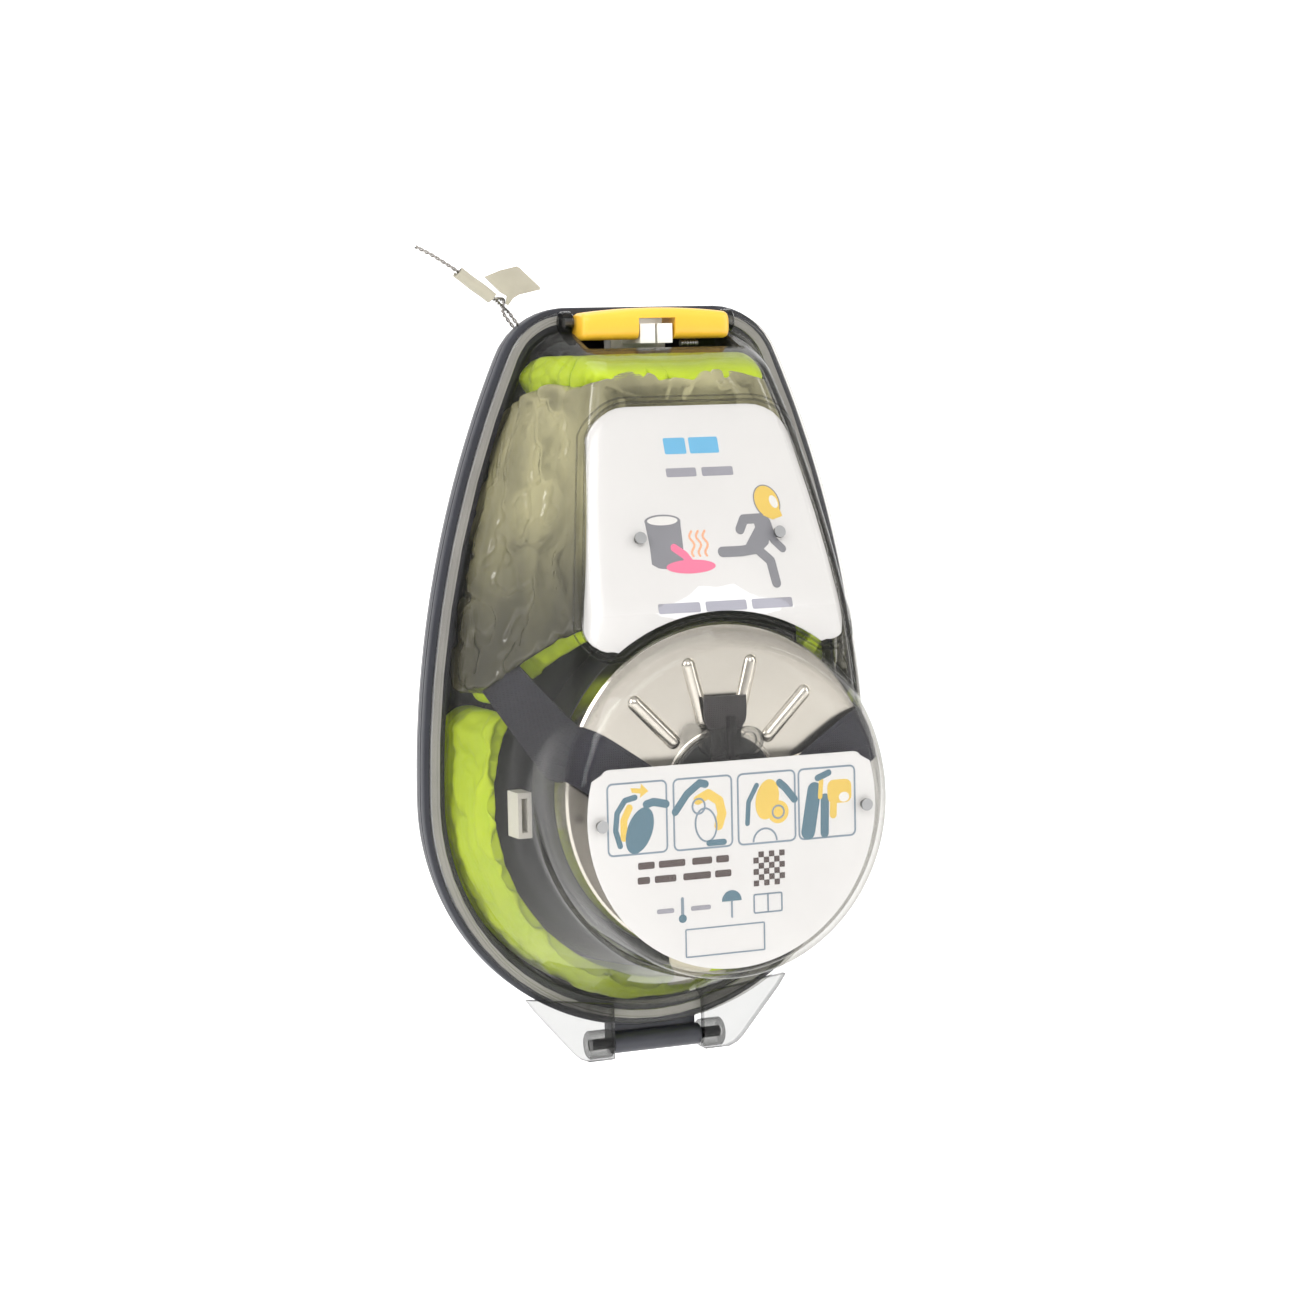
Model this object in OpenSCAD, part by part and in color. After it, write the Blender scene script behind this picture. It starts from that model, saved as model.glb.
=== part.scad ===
// Escape smoke hood packed in its clear-fronted belt case.
// Millimetres. X is to the right, Y is to the back, Z is up.
// The origin is the centre of the flat pad on the back of the case, level with the filter's axis.

/* [Case] */
// Radius of the round lower end of the cover flange
case_r = 64.5; // [63.5:0.5:66]
// Height of the centre of the round lower end
case_low_z = -5; // [-6:0.5:-4]
// Radius of the long bowed sides
side_r = 290; // [280:5:320]
// Angle at which the bowed sides run into the top corners
side_turn = 24.2; // [23.5:0.1:24.8]
// Radius of the two top corners
corner_r = 19; // [18.5:0.25:20]
// Depth from the back pads to the parting plane
rear_depth = 26; // [25:0.5:28]
// Wall of the dark rear shell
rear_wall = 2; // [1.6:0.1:2.4]
// How far the rear shell stands outside the cover flange
rear_over = 1; // [0.8:0.1:1.2]

/* [Cover] */
// Wall of the clear cover
cover_wall = 1.2; // [1:0.1:1.3]
// Depth of the cover's flat front plane below the upper label
front_y = -75.8; // [-76.4:0.2:-75.6]
// Inward slope of the cover's side walls, per unit of depth
draft = 0.39; // [0.38:0.01:0.4]
// Height at which the front starts to lean back
lean_z = 47; // [46:0.5:48]
// Backward lean of the upper front, per unit of height
lean = 0.36; // [0.34:0.01:0.38]
// Depth of the drum's front face
drum_y = -81.7; // [-82.4:0.1:-81.6]
// Radius of the drum round the filter
drum_r = 46.8; // [46.6:0.1:47.2]

/* [Hinge and latch] */
// Height of the hinge axis
hinge_z = -74.5; // [-75:0.25:-74]
// Diameter of the hinge axle
axle_d = 3; // [2.5:0.1:3.2]
// Radial running clearance of the moving pins
run_gap = 0.05; // [0.02:0.01:0.09]
// Half length of the black hinge knuckle
knuckle_x = 13.2; // [12:0.1:13.3]
// Half length of the yellow handle
handle_x = 21.4; // [20:0.1:21.4]
// Half width of the recess round the handle
recess_x = 22; // [21.9:0.1:22.5]
// Height of the recess floor
recess_z = 115; // [114.5:0.25:115.25]

/* [Filter] */
// Radius of the filter's metal lid
filter_r = 43.8; // [43.5:0.1:43.8]
// Depth of the lid's face
filter_y = -73; // [-73.2:0.1:-72.5]
// Depth of the back of the filter can
filter_back_y = -44; // [-45:0.5:-44]
// Number of radial beads pressed into the lid
bead_count = 12; // [8:1:14]

/* [Labels] */
// Radius of the lower label
label_r = 41; // [39:0.2:41]
// Height of the lower label's straight top edge
label_chord_z = 8.5; // [8:0.25:8.5]

/* [Hidden] */
$fn = 64;
eps = 0.05;

part_y = -rear_depth;
flange_back_y = part_y - 1;
flange_front_y = part_y - 4;
flange_w = 4;
shell_back_y = -8;
pivot_y = part_y - 4.5;
pivot_z = recess_z + 7;
axle_r = axle_d / 2;

// Case outline: three tangent arcs on each side, drawn at any inset from the flange's edge.
// The corner arc keeps a radius of 3 where the inset would swallow it.
side_c = [case_r - side_r, case_low_z];
corner_c = side_c + (side_r - corner_r) * [cos(side_turn), sin(side_turn)];
case_top_z = corner_c[1] + corner_r;

function arc(c, r, from, to, n) =
    [for (i = [0 : n]) let (t = from + (to - from) * i / n) c + r * [cos(t), sin(t)]];
function turn_point(inset) = side_c + (side_r - inset) * [cos(side_turn), sin(side_turn)];
function right_side(inset) =
    let (r = max(corner_r - inset, 3), c = turn_point(inset) - r * [cos(side_turn), sin(side_turn)])
    concat(
        arc([0, case_low_z], case_r - inset, -90, 0, 14),
        arc(side_c, side_r - inset, side_turn / 7, side_turn, 6),
        arc(c, r, side_turn + 9, 90, 7));
function mirrored(pts) = [for (i = [len(pts) - 1 : -1 : 0]) if (pts[i][0] > eps) [-pts[i][0], pts[i][1]]];
function outline(inset) = concat(right_side(inset), mirrored(right_side(inset)));

// Depth of the cover's outer front plane at a height
function front_at(z) = front_y + lean * max(0, z - lean_z);

// Prism of an XZ outline between two depths
module slab(y_front, y_back) {
    translate([0, y_back, 0]) rotate([90, 0, 0]) linear_extrude(y_back - y_front) children();
}
// Prism of a YZ side profile between two widths
module side_prism(x_low, x_high) {
    translate([x_low, 0, 0]) rotate([90, 0, 90]) linear_extrude(x_high - x_low) children();
}
module case_slab(inset, y_front, y_back) {
    slab(y_front, y_back) polygon(outline(inset));
}
// Shape turned about a front-to-back axis: profile points are [radius, depth]
module turned(z = 0) {
    translate([0, 0, z]) rotate([90, 0, 0]) rotate_extrude() scale([1, -1]) children();
}
module disc(r, y_front, y_back, x = 0, z = 0) {
    translate([x, y_back, z]) rotate([90, 0, 0]) cylinder(r = r, h = y_back - y_front);
}
module rod_x(r, x_low, x_high, y, z) {
    translate([x_low, y, z]) rotate([0, 90, 0]) cylinder(r = r, h = x_high - x_low);
}
module block(low, high) {
    translate(low) cube(high - low);
}
module both_sides() {
    children();
    mirror([1, 0, 0]) children();
}

// ---- Rear shell ----
clip_screw_x = 7;
clip_screw_z = 80;
pad_r = 26;
shelf_z = recess_z - 2.4;

// Outside of the rear shell as [inset, depth] steps
rear_steps = [[-rear_over, part_y + 0.5], [0.2 - rear_over, part_y + 6], [0.4, part_y + 10.5], [3, -12], [7, -9.3],
    [11, shell_back_y]];
module rear_dish(skin) {
    hull() for (step = rear_steps)
        case_slab(step[0] + skin, part_y, step[1] - skin * min(1, max(0, step[0] + 1) / 4));
}
module rear_shell() {
    color([0.13, 0.13, 0.15]) difference() {
        union() {
            difference() {
                rear_dish(0);
                rear_dish(rear_wall);
            }
            // inward rim that carries the seal
            difference() {
                case_slab(0, part_y, part_y + 2);
                case_slab(5, part_y - 1, part_y + 3);
                block([-recess_x - 1, part_y - 1, 100], [recess_x + 1, part_y + 3, 140]);
            }
            // shelf that closes the case behind the handle recess
            intersection() {
                rear_dish(0);
                block([-recess_x - 2, part_y, shelf_z], [recess_x + 2, 0, shelf_z + rear_wall]);
            }
            // back pads
            disc(pad_r, shell_back_y - 1, 0);
            both_sides() disc(6, shell_back_y - 1, 0, 14, 98);
            // hinge knuckle and its web
            rod_x(3, -knuckle_x, knuckle_x, part_y, hinge_z);
            block([-knuckle_x + 0.6, part_y + 0.5, hinge_z - 1.5], [knuckle_x - 0.6, part_y + 6, hinge_z + 7]);
            // bosses for the clip screws
            both_sides() disc(3.5, shell_back_y - 6, shell_back_y - 1, clip_screw_x, clip_screw_z);
        }
        disc(pad_r - 2, shell_back_y - 5, -2);
        rod_x(axle_r + 0.02, -30, 30, part_y, hinge_z);
        both_sides() rod_x(5.6, knuckle_x, knuckle_x + 9, part_y, hinge_z);
        both_sides() disc(1.3, shell_back_y - 5, shell_back_y + 1, clip_screw_x, clip_screw_z);
        // two holes for the seal wire through the rounded corner
        for (y = seal_hole_y) seal_hole(y, 0.9);
    }
}

module rim_seal() {
    color([0.2, 0.2, 0.21]) difference() {
        case_slab(1, flange_back_y + eps, part_y - eps);
        case_slab(3.2, flange_back_y - 1, part_y + 1);
        block([-recess_x - 2, part_y - 3, 100], [recess_x + 2, part_y + 3, 140]);
    }
}

module belt_clip() {
    color([0.12, 0.12, 0.13]) difference() {
        {
            side_prism(-12, 12) polygon([
                [shell_back_y + eps, 86], [-1.4, 86], [-0.6, 84.5], [-0.6, 44], [-1.8, 40], [-3.4, 38.5],
                [-5.6, 41.5], [-4.4, 44.5], [-3, 47], [-3, 72], [shell_back_y + eps, 74]]);
        }
        both_sides() disc(1.7, -10, 1, clip_screw_x, clip_screw_z);
        both_sides() disc(3.2, -3.4, 1, clip_screw_x, clip_screw_z);
    }
}

module pan_screw(length) {
    // axis along +Z: the thread runs down from the underside of the head
    translate([0, 0, -length]) cylinder(r = 1.2, h = length + 0.5);
    difference() {
        cylinder(r = 2.8, h = 1.8);
        translate([0, 0, 0.8]) cylinder(r = 1.3, h = 2, $fn = 6);
    }
}
module case_screws() {
    color([0.6, 0.6, 0.62])
        both_sides() translate([clip_screw_x, -3.35, clip_screw_z]) rotate([-90, 0, 0]) pan_screw(8.5);
}

module hinge_axle() {
    color([0.7, 0.7, 0.72]) rod_x(axle_r, -19.4, 19.4, part_y, hinge_z);
}

block_low_z = recess_z + 1.2;
block_high_z = 121.4;
module catch_block() {
    color([0.93, 0.92, 0.88]) {
        both_sides() block([0.35, part_y - 11, block_low_z], [4.7, part_y - 2.8, block_high_z]);
        block([-4.7, part_y - 3, block_low_z], [4.7, part_y + 6, block_high_z]);
        block([-8, part_y + 1.4, shelf_z + rear_wall + 0.2], [8, part_y + 6, case_top_z + rear_over - rear_wall - 0.5]);
    }
}

// ---- Clear cover ----
// Insets at which the cover's skin is drawn, from the flange to the flat front
skin_insets = [4, 8, 11, 14, 16.5, 19, 21.5, 24.5, 28];
edge_round = 1.6;

// Smaller of two depths, blended over the rounded edge
function soft_min(a, b) = -edge_round * ln(exp(-a / edge_round) + exp(-b / edge_round));
function skin_depth(z, inset) =
    inset == skin_insets[0] ? 0 : soft_min(flange_back_y - front_at(z), (inset - skin_insets[0]) / draft);

// The two points of an inset outline at the height where the front starts to lean
function crease(inset) = let (x = side_c[0] + sqrt(pow(side_r - inset, 2) - pow(lean_z - side_c[1], 2)))
    [[x, lean_z], [-x, lean_z]];

module cover_loft(skin) {
    points = [for (inset = skin_insets, p = concat(outline(inset + skin), crease(inset + skin)))
        [p[0], flange_back_y - skin_depth(p[1], inset) + (inset == skin_insets[0] ? 0 : skin), p[1]]];
    hull() polyhedron(points, [[for (i = [0 : len(points) - 1]) i]]);
}
// Drum rings as [radius added, depth, height of centre], from the root to the face
drum_rings = [[1.5, -62, -1.6], [1.2, -69, -2], [0, -74, -2.6], [-1.4, drum_y + 3.6, -3.5], [-2.7, drum_y + 1, -4.2],
    [-3.8, drum_y, -4.5]];
// Places children on the drum's face, with +Y running in from the face
module on_drum_face() {
    translate([0, drum_y, 0]) children();
}
module cover_drum(skin) {
    hull() for (ring = drum_rings)
        disc(drum_r + ring[0] - skin, max(ring[1], drum_y + skin), -60, 0, ring[2]);
}
module cover_solid(skin) {
    cover_loft(skin);
    cover_drum(skin);
}
module recess_space(grow) {
    block(
        [-recess_x - grow, -60, recess_z - grow],
        [recess_x + grow, part_y, 140]);
}

// Free lanyard eye in the flange's right corner
eye_x = 33.5;
eye_z = 116.5;

module hinge_ear() {
    slab(flange_front_y, flange_back_y) polygon([
        [knuckle_x + 0.2, -64], [37, -61], [24.5, -75.8], [20, -78.4], [knuckle_x + 0.2, -78.4]]);
    rod_x(4, knuckle_x + 0.2, 19.9, part_y, hinge_z);
}
module front_cover() {
    color([0.85, 0.87, 0.86, 0.35]) difference() {
        union() {
            difference() {
                cover_solid(0);
                cover_solid(cover_wall);
                block([-80, flange_back_y, -90], [80, 10, 140]);
            }
            difference() {
                case_slab(0, flange_front_y, flange_back_y);
                case_slab(flange_w + cover_wall, flange_front_y - 1, flange_back_y + 1);
            }
            intersection() {
                cover_loft(0);
                recess_space(cover_wall);
                block([-80, -90, 0], [80, flange_back_y, 140]);
            }
            both_sides() hinge_ear();
            both_sides() rod_x(3.1, recess_x, recess_x + 3, pivot_y, pivot_z);
        }
        recess_space(0);
        both_sides() rod_x(axle_r + run_gap, 10, 30, part_y, hinge_z);
        both_sides() rod_x(1.2 + run_gap, recess_x - 1, recess_x + 2.2, pivot_y, pivot_z);
        disc(1.6, flange_front_y - 1, flange_back_y + 1, eye_x, eye_z);
        pin_holes(1.05);
    }
}

// ---- Labels ----
label_t = 0.4;
upper_pin_x = 19.9;
upper_pin_z = 66.2;
lower_pin_x = 37.7;
lower_pin_z = -5.6;
lean_turn = atan(lean);

module at_upper_pins() {
    for (side = [-1, 1])
        translate([side * upper_pin_x, front_at(upper_pin_z), upper_pin_z])
            rotate([90 - lean_turn, 0, 0]) children();
}
module at_lower_pins() {
    on_drum_face() for (side = [-1, 1])
        translate([side * lower_pin_x, 0, lower_pin_z]) rotate([90, 0, 0]) children();
}
module pin_holes(r) {
    at_upper_pins() translate([0, 0, -5]) cylinder(r = r, h = 8);
    at_lower_pins() translate([0, 0, -5]) cylinder(r = r, h = 8);
}
// Upper label: straight sides, big top corners and a hollow arc that follows the drum
module upper_label_outline() {
    half = concat(
        arc([17.5, 87.5], 12.2, 90, 20, 6),
        arc([31.3, 43.4], 5.6, 12, -100, 6),
        arc([0, -2.4], 49.3, 54, 90, 10));
    polygon(concat(half, mirrored(half)));
}
// The film lies along the inside of the front, round its edges at the lower corners.
module upper_label() {
    color([0.95, 0.96, 0.97]) difference() {
        intersection() {
            slab(-90, -50) upper_label_outline();
            cover_loft(cover_wall + 0.2);
        }
        cover_loft(cover_wall + 0.2 + label_t);
        pin_holes(1.1);
    }
}
module lower_label() {
    half_chord = sqrt(label_r * label_r - pow(label_chord_z + 4.8, 2));
    turn = asin((label_chord_z + 4.8) / label_r) - 4;
    pts = concat(
        arc([0, -4.8], label_r, -90, turn, 24),
        arc([half_chord - 4, label_chord_z - 2.4], 2.4, 30, 90, 4));
    color([0.95, 0.96, 0.97]) difference() {
        on_drum_face() slab(cover_wall + 0.2, cover_wall + 0.2 + label_t) polygon(concat(pts, mirrored(pts)));
        pin_holes(1.1);
    }
}
module label_pin() {
    translate([0, 0, -3]) cylinder(r = 0.95, h = 3.2);
    translate([0, 0, 0.05]) cylinder(r = 1.6, h = 0.6);
}
module label_pins() {
    color([0.55, 0.55, 0.55]) {
        at_upper_pins() label_pin();
        at_lower_pins() label_pin();
    }
}

// ---- Filter plug and its clip ----
inner_y = cover_wall + eps;
module tab_clip() {
    color([0.85, 0.87, 0.88, 0.5]) on_drum_face() difference() {
        union() {
            both_sides() disc(3.6, inner_y, inner_y + 2.4, 5.2, 13.4);
            block([-5, inner_y, 10.2], [5, inner_y + 1.2, 17]);
            block([-0.8, inner_y, 8.9], [0.8, inner_y + 2.4, 20]);
        }
        both_sides() disc(2.2, inner_y + 1, inner_y + 4, 5.2, 13.4);
    }
}
module plug_tab() {
    color([0.22, 0.21, 0.22]) slab(filter_y - 3.1, filter_y - 2.3) polygon([
        [-6, 25], [6, 25], [6, 18], [4.2, 15], [4.2, 8], [-4.2, 8], [-4.2, 15], [-6, 18]]);
}
module filter_plug() {
    color([0.16, 0.15, 0.16]) {
        turned() polygon([
            [0, filter_y - 1.5], [14.2, filter_y - 1.5], [14.8, filter_y - 1.2], [14.8, filter_y - 0.5],
            [12.6, filter_y - 0.5], [12, filter_y - 0.9], [0, filter_y - 0.9]]);
        disc(3.6, filter_y - 2.25, filter_y - 1.2, 0, 10.5);
    }
}

// ---- Latch handle ----
module handle_section(x) {
    rise = 1.3 * (1 - pow(x / handle_x, 2));
    rotate([90, 0, 90]) linear_extrude(0.1) translate([part_y - 7, recess_z + 6]) polygon([
        [-3.6, -3.8], [3.2, -3.8], [4.2, -2.8], [4.2, 2.2 + rise], [3, 3.4 + rise],
        [-2.6, 3.4 + rise], [-4.8, 1.2 + rise], [-4.8, -2.6]]);
}
module latch_handle() {
    color([0.94, 0.72, 0.2]) difference() {
        hull() for (x = [-handle_x : handle_x / 6 : handle_x - 0.05]) translate([x, 0, 0]) handle_section(x);
        // window over the two catch blocks, open below
        block([-5.3, part_y - 14, recess_z], [5.3, part_y, block_high_z + 1.5]);
        both_sides() rod_x(1.22, handle_x - 4.5, handle_x + 2, pivot_y, pivot_z);
    }
}
module latch_pins() {
    color([0.7, 0.7, 0.72]) both_sides() rod_x(1.2, handle_x - 4.3, recess_x + 2, pivot_y, pivot_z);
}
// Torsion spring lying in the corner between the handle and the recess floor
spring_turns = 6;
module latch_spring() {
    color([0.75, 0.75, 0.76]) for (i = [0 : spring_turns - 1])
        translate([9 + i * 0.8, part_y - 7, recess_z + 1.1]) rotate([0, 90, 0])
            rotate_extrude($fn = 24) translate([0.7, 0]) circle(r = 0.25, $fn = 16);
    color([0.75, 0.75, 0.76]) rod_x(0.72, 8.7, 9 + spring_turns * 0.8, part_y - 7, recess_z + 1.1);
}

// ---- Filter ----
module filter_lid() {
    color([0.86, 0.84, 0.8]) {
        turned() polygon([
            [13, filter_y + 1], [13, filter_y - 0.2], [15.8, filter_y - 0.2], [16.2, filter_y],
            [filter_r - 0.6, filter_y], [filter_r, filter_y + 0.6], [filter_r, filter_y + 8],
            [filter_r - 0.8, filter_y + 8], [filter_r - 0.8, filter_y + 1]]);
        intersection() {
            for (i = [0 : bead_count - 1]) rotate([0, i * 360 / bead_count + 15, 0]) {
                translate([0, filter_y + 1, 19.2]) cylinder(r = 2.2, h = 15);
                translate([0, filter_y + 1, 19.2]) sphere(r = 2.2);
                translate([0, filter_y + 1, 34.2]) sphere(r = 2.2);
            }
            disc(filter_r, filter_y - 3, filter_y + 0.9);
        }
    }
}
can_r = filter_r - 1;
module filter_can() {
    color([0.1, 0.1, 0.11]) turned() polygon([
        [can_r - 1.4, filter_y + 1.2], [can_r, filter_y + 1.2], [can_r, filter_y + 8.2],
        [can_r + 1, filter_y + 8.8], [can_r + 1, filter_y + 12], [can_r, filter_y + 12.6],
        [can_r, filter_back_y - 3], [can_r - 3, filter_back_y], [20.2, filter_back_y],
        [20.2, filter_back_y - 1.6], [can_r - 3.6, filter_back_y - 1.6], [can_r - 1.4, filter_back_y - 3.8]]);
}
media_r = can_r - 1.6;
pleat_n = 22;
module particle_filter() {
    pitch = 2 * media_r / pleat_n;
    front = [for (i = [0 : pleat_n]) [-media_r + i * pitch, filter_y + 1.6 + (i % 2) * 7.4]];
    back = [for (i = [pleat_n : -1 : 0]) [-media_r + i * pitch, filter_y + 3 + (i % 2) * 7.4]];
    color([0.93, 0.93, 0.9]) intersection() {
        disc(media_r, filter_y, filter_y + 12);
        translate([0, 0, -60]) linear_extrude(120) polygon(concat(front, back));
    }
}
module filter_screens() {
    color([0.62, 0.63, 0.64]) for (y = [filter_y + 12.2, filter_back_y - 4.6]) difference() {
        disc(media_r - 0.4, y, y + 0.6);
        for (ring = [1 : 4], i = [0 : ring * 6 - 1]) rotate([0, i * 60 / ring, 0])
            disc(1.6, y - 1, y + 2, ring * 8.4, 0);
    }
}
module carbon_bed() {
    color([0.08, 0.08, 0.08]) disc(media_r - 0.2, filter_y + 13, filter_back_y - 4.8);
}
module filter_base() {
    color([0.14, 0.14, 0.15]) turned() polygon([
        [16.4, filter_back_y - 1.4], [20, filter_back_y - 1.4], [20, filter_back_y + 1.4],
        [19, filter_back_y + 2], [20, filter_back_y + 3], [19, filter_back_y + 4],
        [20, filter_back_y + 5], [19, filter_back_y + 6], [19, filter_back_y + 8], [16.4, filter_back_y + 8]]);
}
module filter_gasket() {
    color([0.18, 0.18, 0.18]) turned() polygon([
        [20.4, filter_back_y + 0.1], [23.6, filter_back_y + 0.1],
        [23.6, filter_back_y + 1.3], [20.4, filter_back_y + 1.3]]);
}

// ---- Half mask ----
mask_z = -4;
mask_r = 49.5;
mask_y = filter_back_y + 5.6;
mask_wall = 2.4;
mask_back_y = -13.4;
module mask_cup(skin) {
    hull() {
        disc(mask_r - 6 - skin, mask_y + skin, mask_y + 4, 0, mask_z);
        disc(mask_r - 1.6 - skin, mask_y + 2 + skin, mask_y + 6, 0, mask_z);
        disc(mask_r - skin, mask_y + 6 + skin, mask_back_y + skin, 0, mask_z);
    }
}
exhale_z = -36.4;
valve_r = 8.4;
module half_mask() {
    color([0.12, 0.12, 0.14]) difference() {
        union() {
            difference() {
                mask_cup(0);
                mask_cup(mask_wall);
            }
            disc(valve_r + 1.6, mask_y, mask_y + 5, 0, exhale_z);
        }
        disc(23.6, mask_y - 5, mask_y + 10);
        disc(valve_r - 1.6, mask_y - 5, mask_y + 10, 0, exhale_z);
    }
}
module mask_ring() {
    color([0.18, 0.18, 0.2]) turned() polygon([
        [20.3, filter_back_y + 1.6], [24.6, filter_back_y + 1.6], [24.6, filter_back_y + 3.2],
        [23.5, filter_back_y + 3.2], [23.5, filter_back_y + 9.4], [20.3, filter_back_y + 9.4]]);
}
module valve_seat() {
    color([0.86, 0.86, 0.84]) difference() {
        disc(20.2, filter_back_y + 8.2, filter_back_y + 9.4);
        for (i = [0 : 5]) rotate([0, i * 60, 0]) disc(4.2, mask_y, mask_y + 10, 9.5, 0);
    }
}
module inhalation_valve() {
    color([0.75, 0.78, 0.72]) difference() {
        disc(16, filter_back_y + 9.5, filter_back_y + 10.2);
        disc(1.5, filter_back_y + 8, filter_back_y + 12);
    }
}
module exhalation_valve() {
    color([0.75, 0.78, 0.72]) disc(valve_r, mask_y - 0.8, mask_y - 0.1, 0, exhale_z);
}
module valve_cap() {
    color([0.16, 0.16, 0.17]) difference() {
        disc(valve_r + 1.6, mask_y - 5, mask_y - 0.1, 0, exhale_z);
        disc(valve_r + 0.6, mask_y - 3.8, mask_y + 1, 0, exhale_z);
        for (x = [-6 : 3 : 6]) block([x - 0.7, mask_y - 6, exhale_z - 5], [x + 0.7, mask_y - 3, exhale_z + 5]);
    }
}
module nose_clip() {
    color([0.86, 0.86, 0.84]) difference() {
        disc(15, -24, -21, 0, 18);
        disc(12.5, -25, -20, 0, 18);
        block([-20, -26, -2], [20, -20, 18]);
    }
}
module neck_seal() {
    color([0.25, 0.25, 0.24]) turned(mask_z) translate([33, -11.7]) scale([8, 1.1]) circle(r = 1, $fn = 32);
}

// ---- Folded hood and visor ----
// Space inside the cover and shell, less a gap
module room(gap) {
    cover_loft(cover_wall + gap);
    case_slab(7 + gap, flange_back_y - 1, -14);
}
module hood() {
    color([0.74, 0.85, 0.12]) {
        // folds round the sides and the bottom of the mask
        intersection() {
            room(0.8);
            difference() {
                block([-80, -41, -80], [80, -14, 14]);
                disc(mask_r + 1, -90, 0, 0, mask_z);
            }
        }
        // rolled bundle above the filter
        intersection() {
            room(0.8);
            side_prism(-60, 60) polygon([
                [-14, 50], [-36, 50], [front_at(55) + 13, 55], [front_at(64) + 8, 64],
                [front_at(106) + 8, 106], [-29, 111], [-14, 104]]);
        }
    }
}
module visor() {
    color([0.55, 0.55, 0.35, 0.8]) intersection() {
        cover_loft(cover_wall + 2);
        side_prism(-60, 60) polygon([
            [front_at(53) + 4, 53], [front_at(98) + 4, 98], [front_at(98) + 6, 98], [front_at(53) + 6, 53]]);
    }
}

// ---- Harness ----
// Points across the right-hand strap, upper edge to lower edge, from its end over the lid to the side of the case
strap_rows = [
    [[21, filter_y - 3, 8], [24, filter_y - 3, 0.5], [27, filter_y - 3, -7]],
    [[33.4, filter_y - 2.4, 16.4], [36, filter_y - 2.4, 9.4], [38.4, filter_y - 2.4, 1.7]],
    [[39.3, filter_y - 1.1, 19.2], [42.3, filter_y - 1.1, 12.9], [44.1, filter_y - 1.1, 5.4]],
    [[39.8, filter_y + 0.7, 19.4], [42.7, filter_y + 0.7, 13], [44.5, filter_y + 0.7, 5.5]],
    [[41, -60, 24], [43.6, -60, 16], [45, -60, 6.5]],
    [[47, -42, 36], [50, -36, 32], [52.5, -30, 29]]
];
strap_t = 0.45;
module harness_strap() {
    color([0.17, 0.17, 0.2]) both_sides() for (i = [0 : len(strap_rows) - 2], j = [0, 1])
        hull() for (row = [strap_rows[i], strap_rows[i + 1]], p = [row[j], row[j + 1]])
            translate(p) cube(strap_t, center = true);
}
module strap_clips() {
    color([0.92, 0.92, 0.88]) both_sides() difference() {
        block([44.4, -50.5, -12], [48.2, -43, 0]);
        block([45.4, -51, -10.5], [47.2, -42, -1.5]);
    }
}
// Pull tab hanging down behind the filter, as [half width, depth, height]
tab_rows = [[8, -55.8, -44.6], [7.6, -54.5, -48], [5, -51.5, -51.5], [3, -45.8, -54.8], [3, -42.4, -56.2]];
module pull_tab() {
    color([0.88, 0.85, 0.68]) for (i = [0 : len(tab_rows) - 2])
        hull() for (row = [tab_rows[i], tab_rows[i + 1]])
            translate([0, row[1], row[2]]) cube([2 * row[0], 0.9, 0.9], center = true);
}

// ---- Tamper seal ----
// Thin wire through a list of points
module wire(points, r) {
    for (i = [0 : len(points) - 2]) {
        a = points[i];
        d = points[i + 1] - a;
        translate(a) rotate([0, acos(d[2] / norm(d)), atan2(d[1], d[0])]) cylinder(r = r, h = norm(d), $fn = 24);
        if (i > 0) translate(a) sphere(r = r * 1.12, $fn = 24);
    }
}
seal_end = [-43.4, part_y - 4, 128.6];
seal_start = [-53.6, part_y - 4, 136];
seal_turn = 52;
seal_hole_y = [part_y + 3.5, part_y + 7.5];
function seal_corner(r, y) = [-corner_c[0] - r * cos(seal_turn), y, corner_c[1] + r * sin(seal_turn)];
module seal_hole(y, r) {
    translate(seal_corner(16, y)) rotate([0, seal_turn - 90, 0]) cylinder(r = r, h = 10);
}
module seal_wire() {
    color([0.35, 0.34, 0.32])
        wire([[-65, part_y - 4, 142.6], seal_start, seal_end,
            seal_corner(24, seal_hole_y[0]), seal_corner(17, seal_hole_y[0]),
            seal_corner(17, seal_hole_y[1]), seal_corner(24, seal_hole_y[1]),
            [-39.5, part_y + 1, 130]], 0.45);
}
module seal_sleeve() {
    axis = seal_end - seal_start;
    color([0.7, 0.67, 0.58]) difference() {
        translate(seal_start) rotate([0, acos(axis[2] / norm(axis)), atan2(axis[1], axis[0])])
            translate([0, 0, 0.4]) difference() {
                cylinder(r = 1.9, h = norm(axis) - 1.4);
                translate([0, 0, -1]) cylinder(r = 0.52, h = 20);
            }
    }
}
module seal_flag() {
    color([0.74, 0.71, 0.62]) slab(part_y - 4.4, part_y - 3.6) polygon([
        [-46.2, 134.4], [-36.6, 137.2], [-29.8, 131], [-38.8, 129.6], [-41.6, 130.4]]);
}

rear_shell();
rim_seal();
belt_clip();
case_screws();
hinge_axle();
catch_block();
front_cover();
upper_label();
lower_label();
label_pins();
tab_clip();
plug_tab();
filter_plug();
latch_handle();
latch_pins();
latch_spring();
filter_lid();
filter_can();
particle_filter();
filter_screens();
carbon_bed();
filter_base();
filter_gasket();
half_mask();
mask_ring();
valve_seat();
inhalation_valve();
exhalation_valve();
valve_cap();
nose_clip();
neck_seal();
hood();
visor();
harness_strap();
strap_clips();
pull_tab();
seal_wire();
seal_sleeve();
seal_flag();
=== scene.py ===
import math
import bpy
import bmesh
import numpy as np
from mathutils import Matrix, Vector, noise


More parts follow.
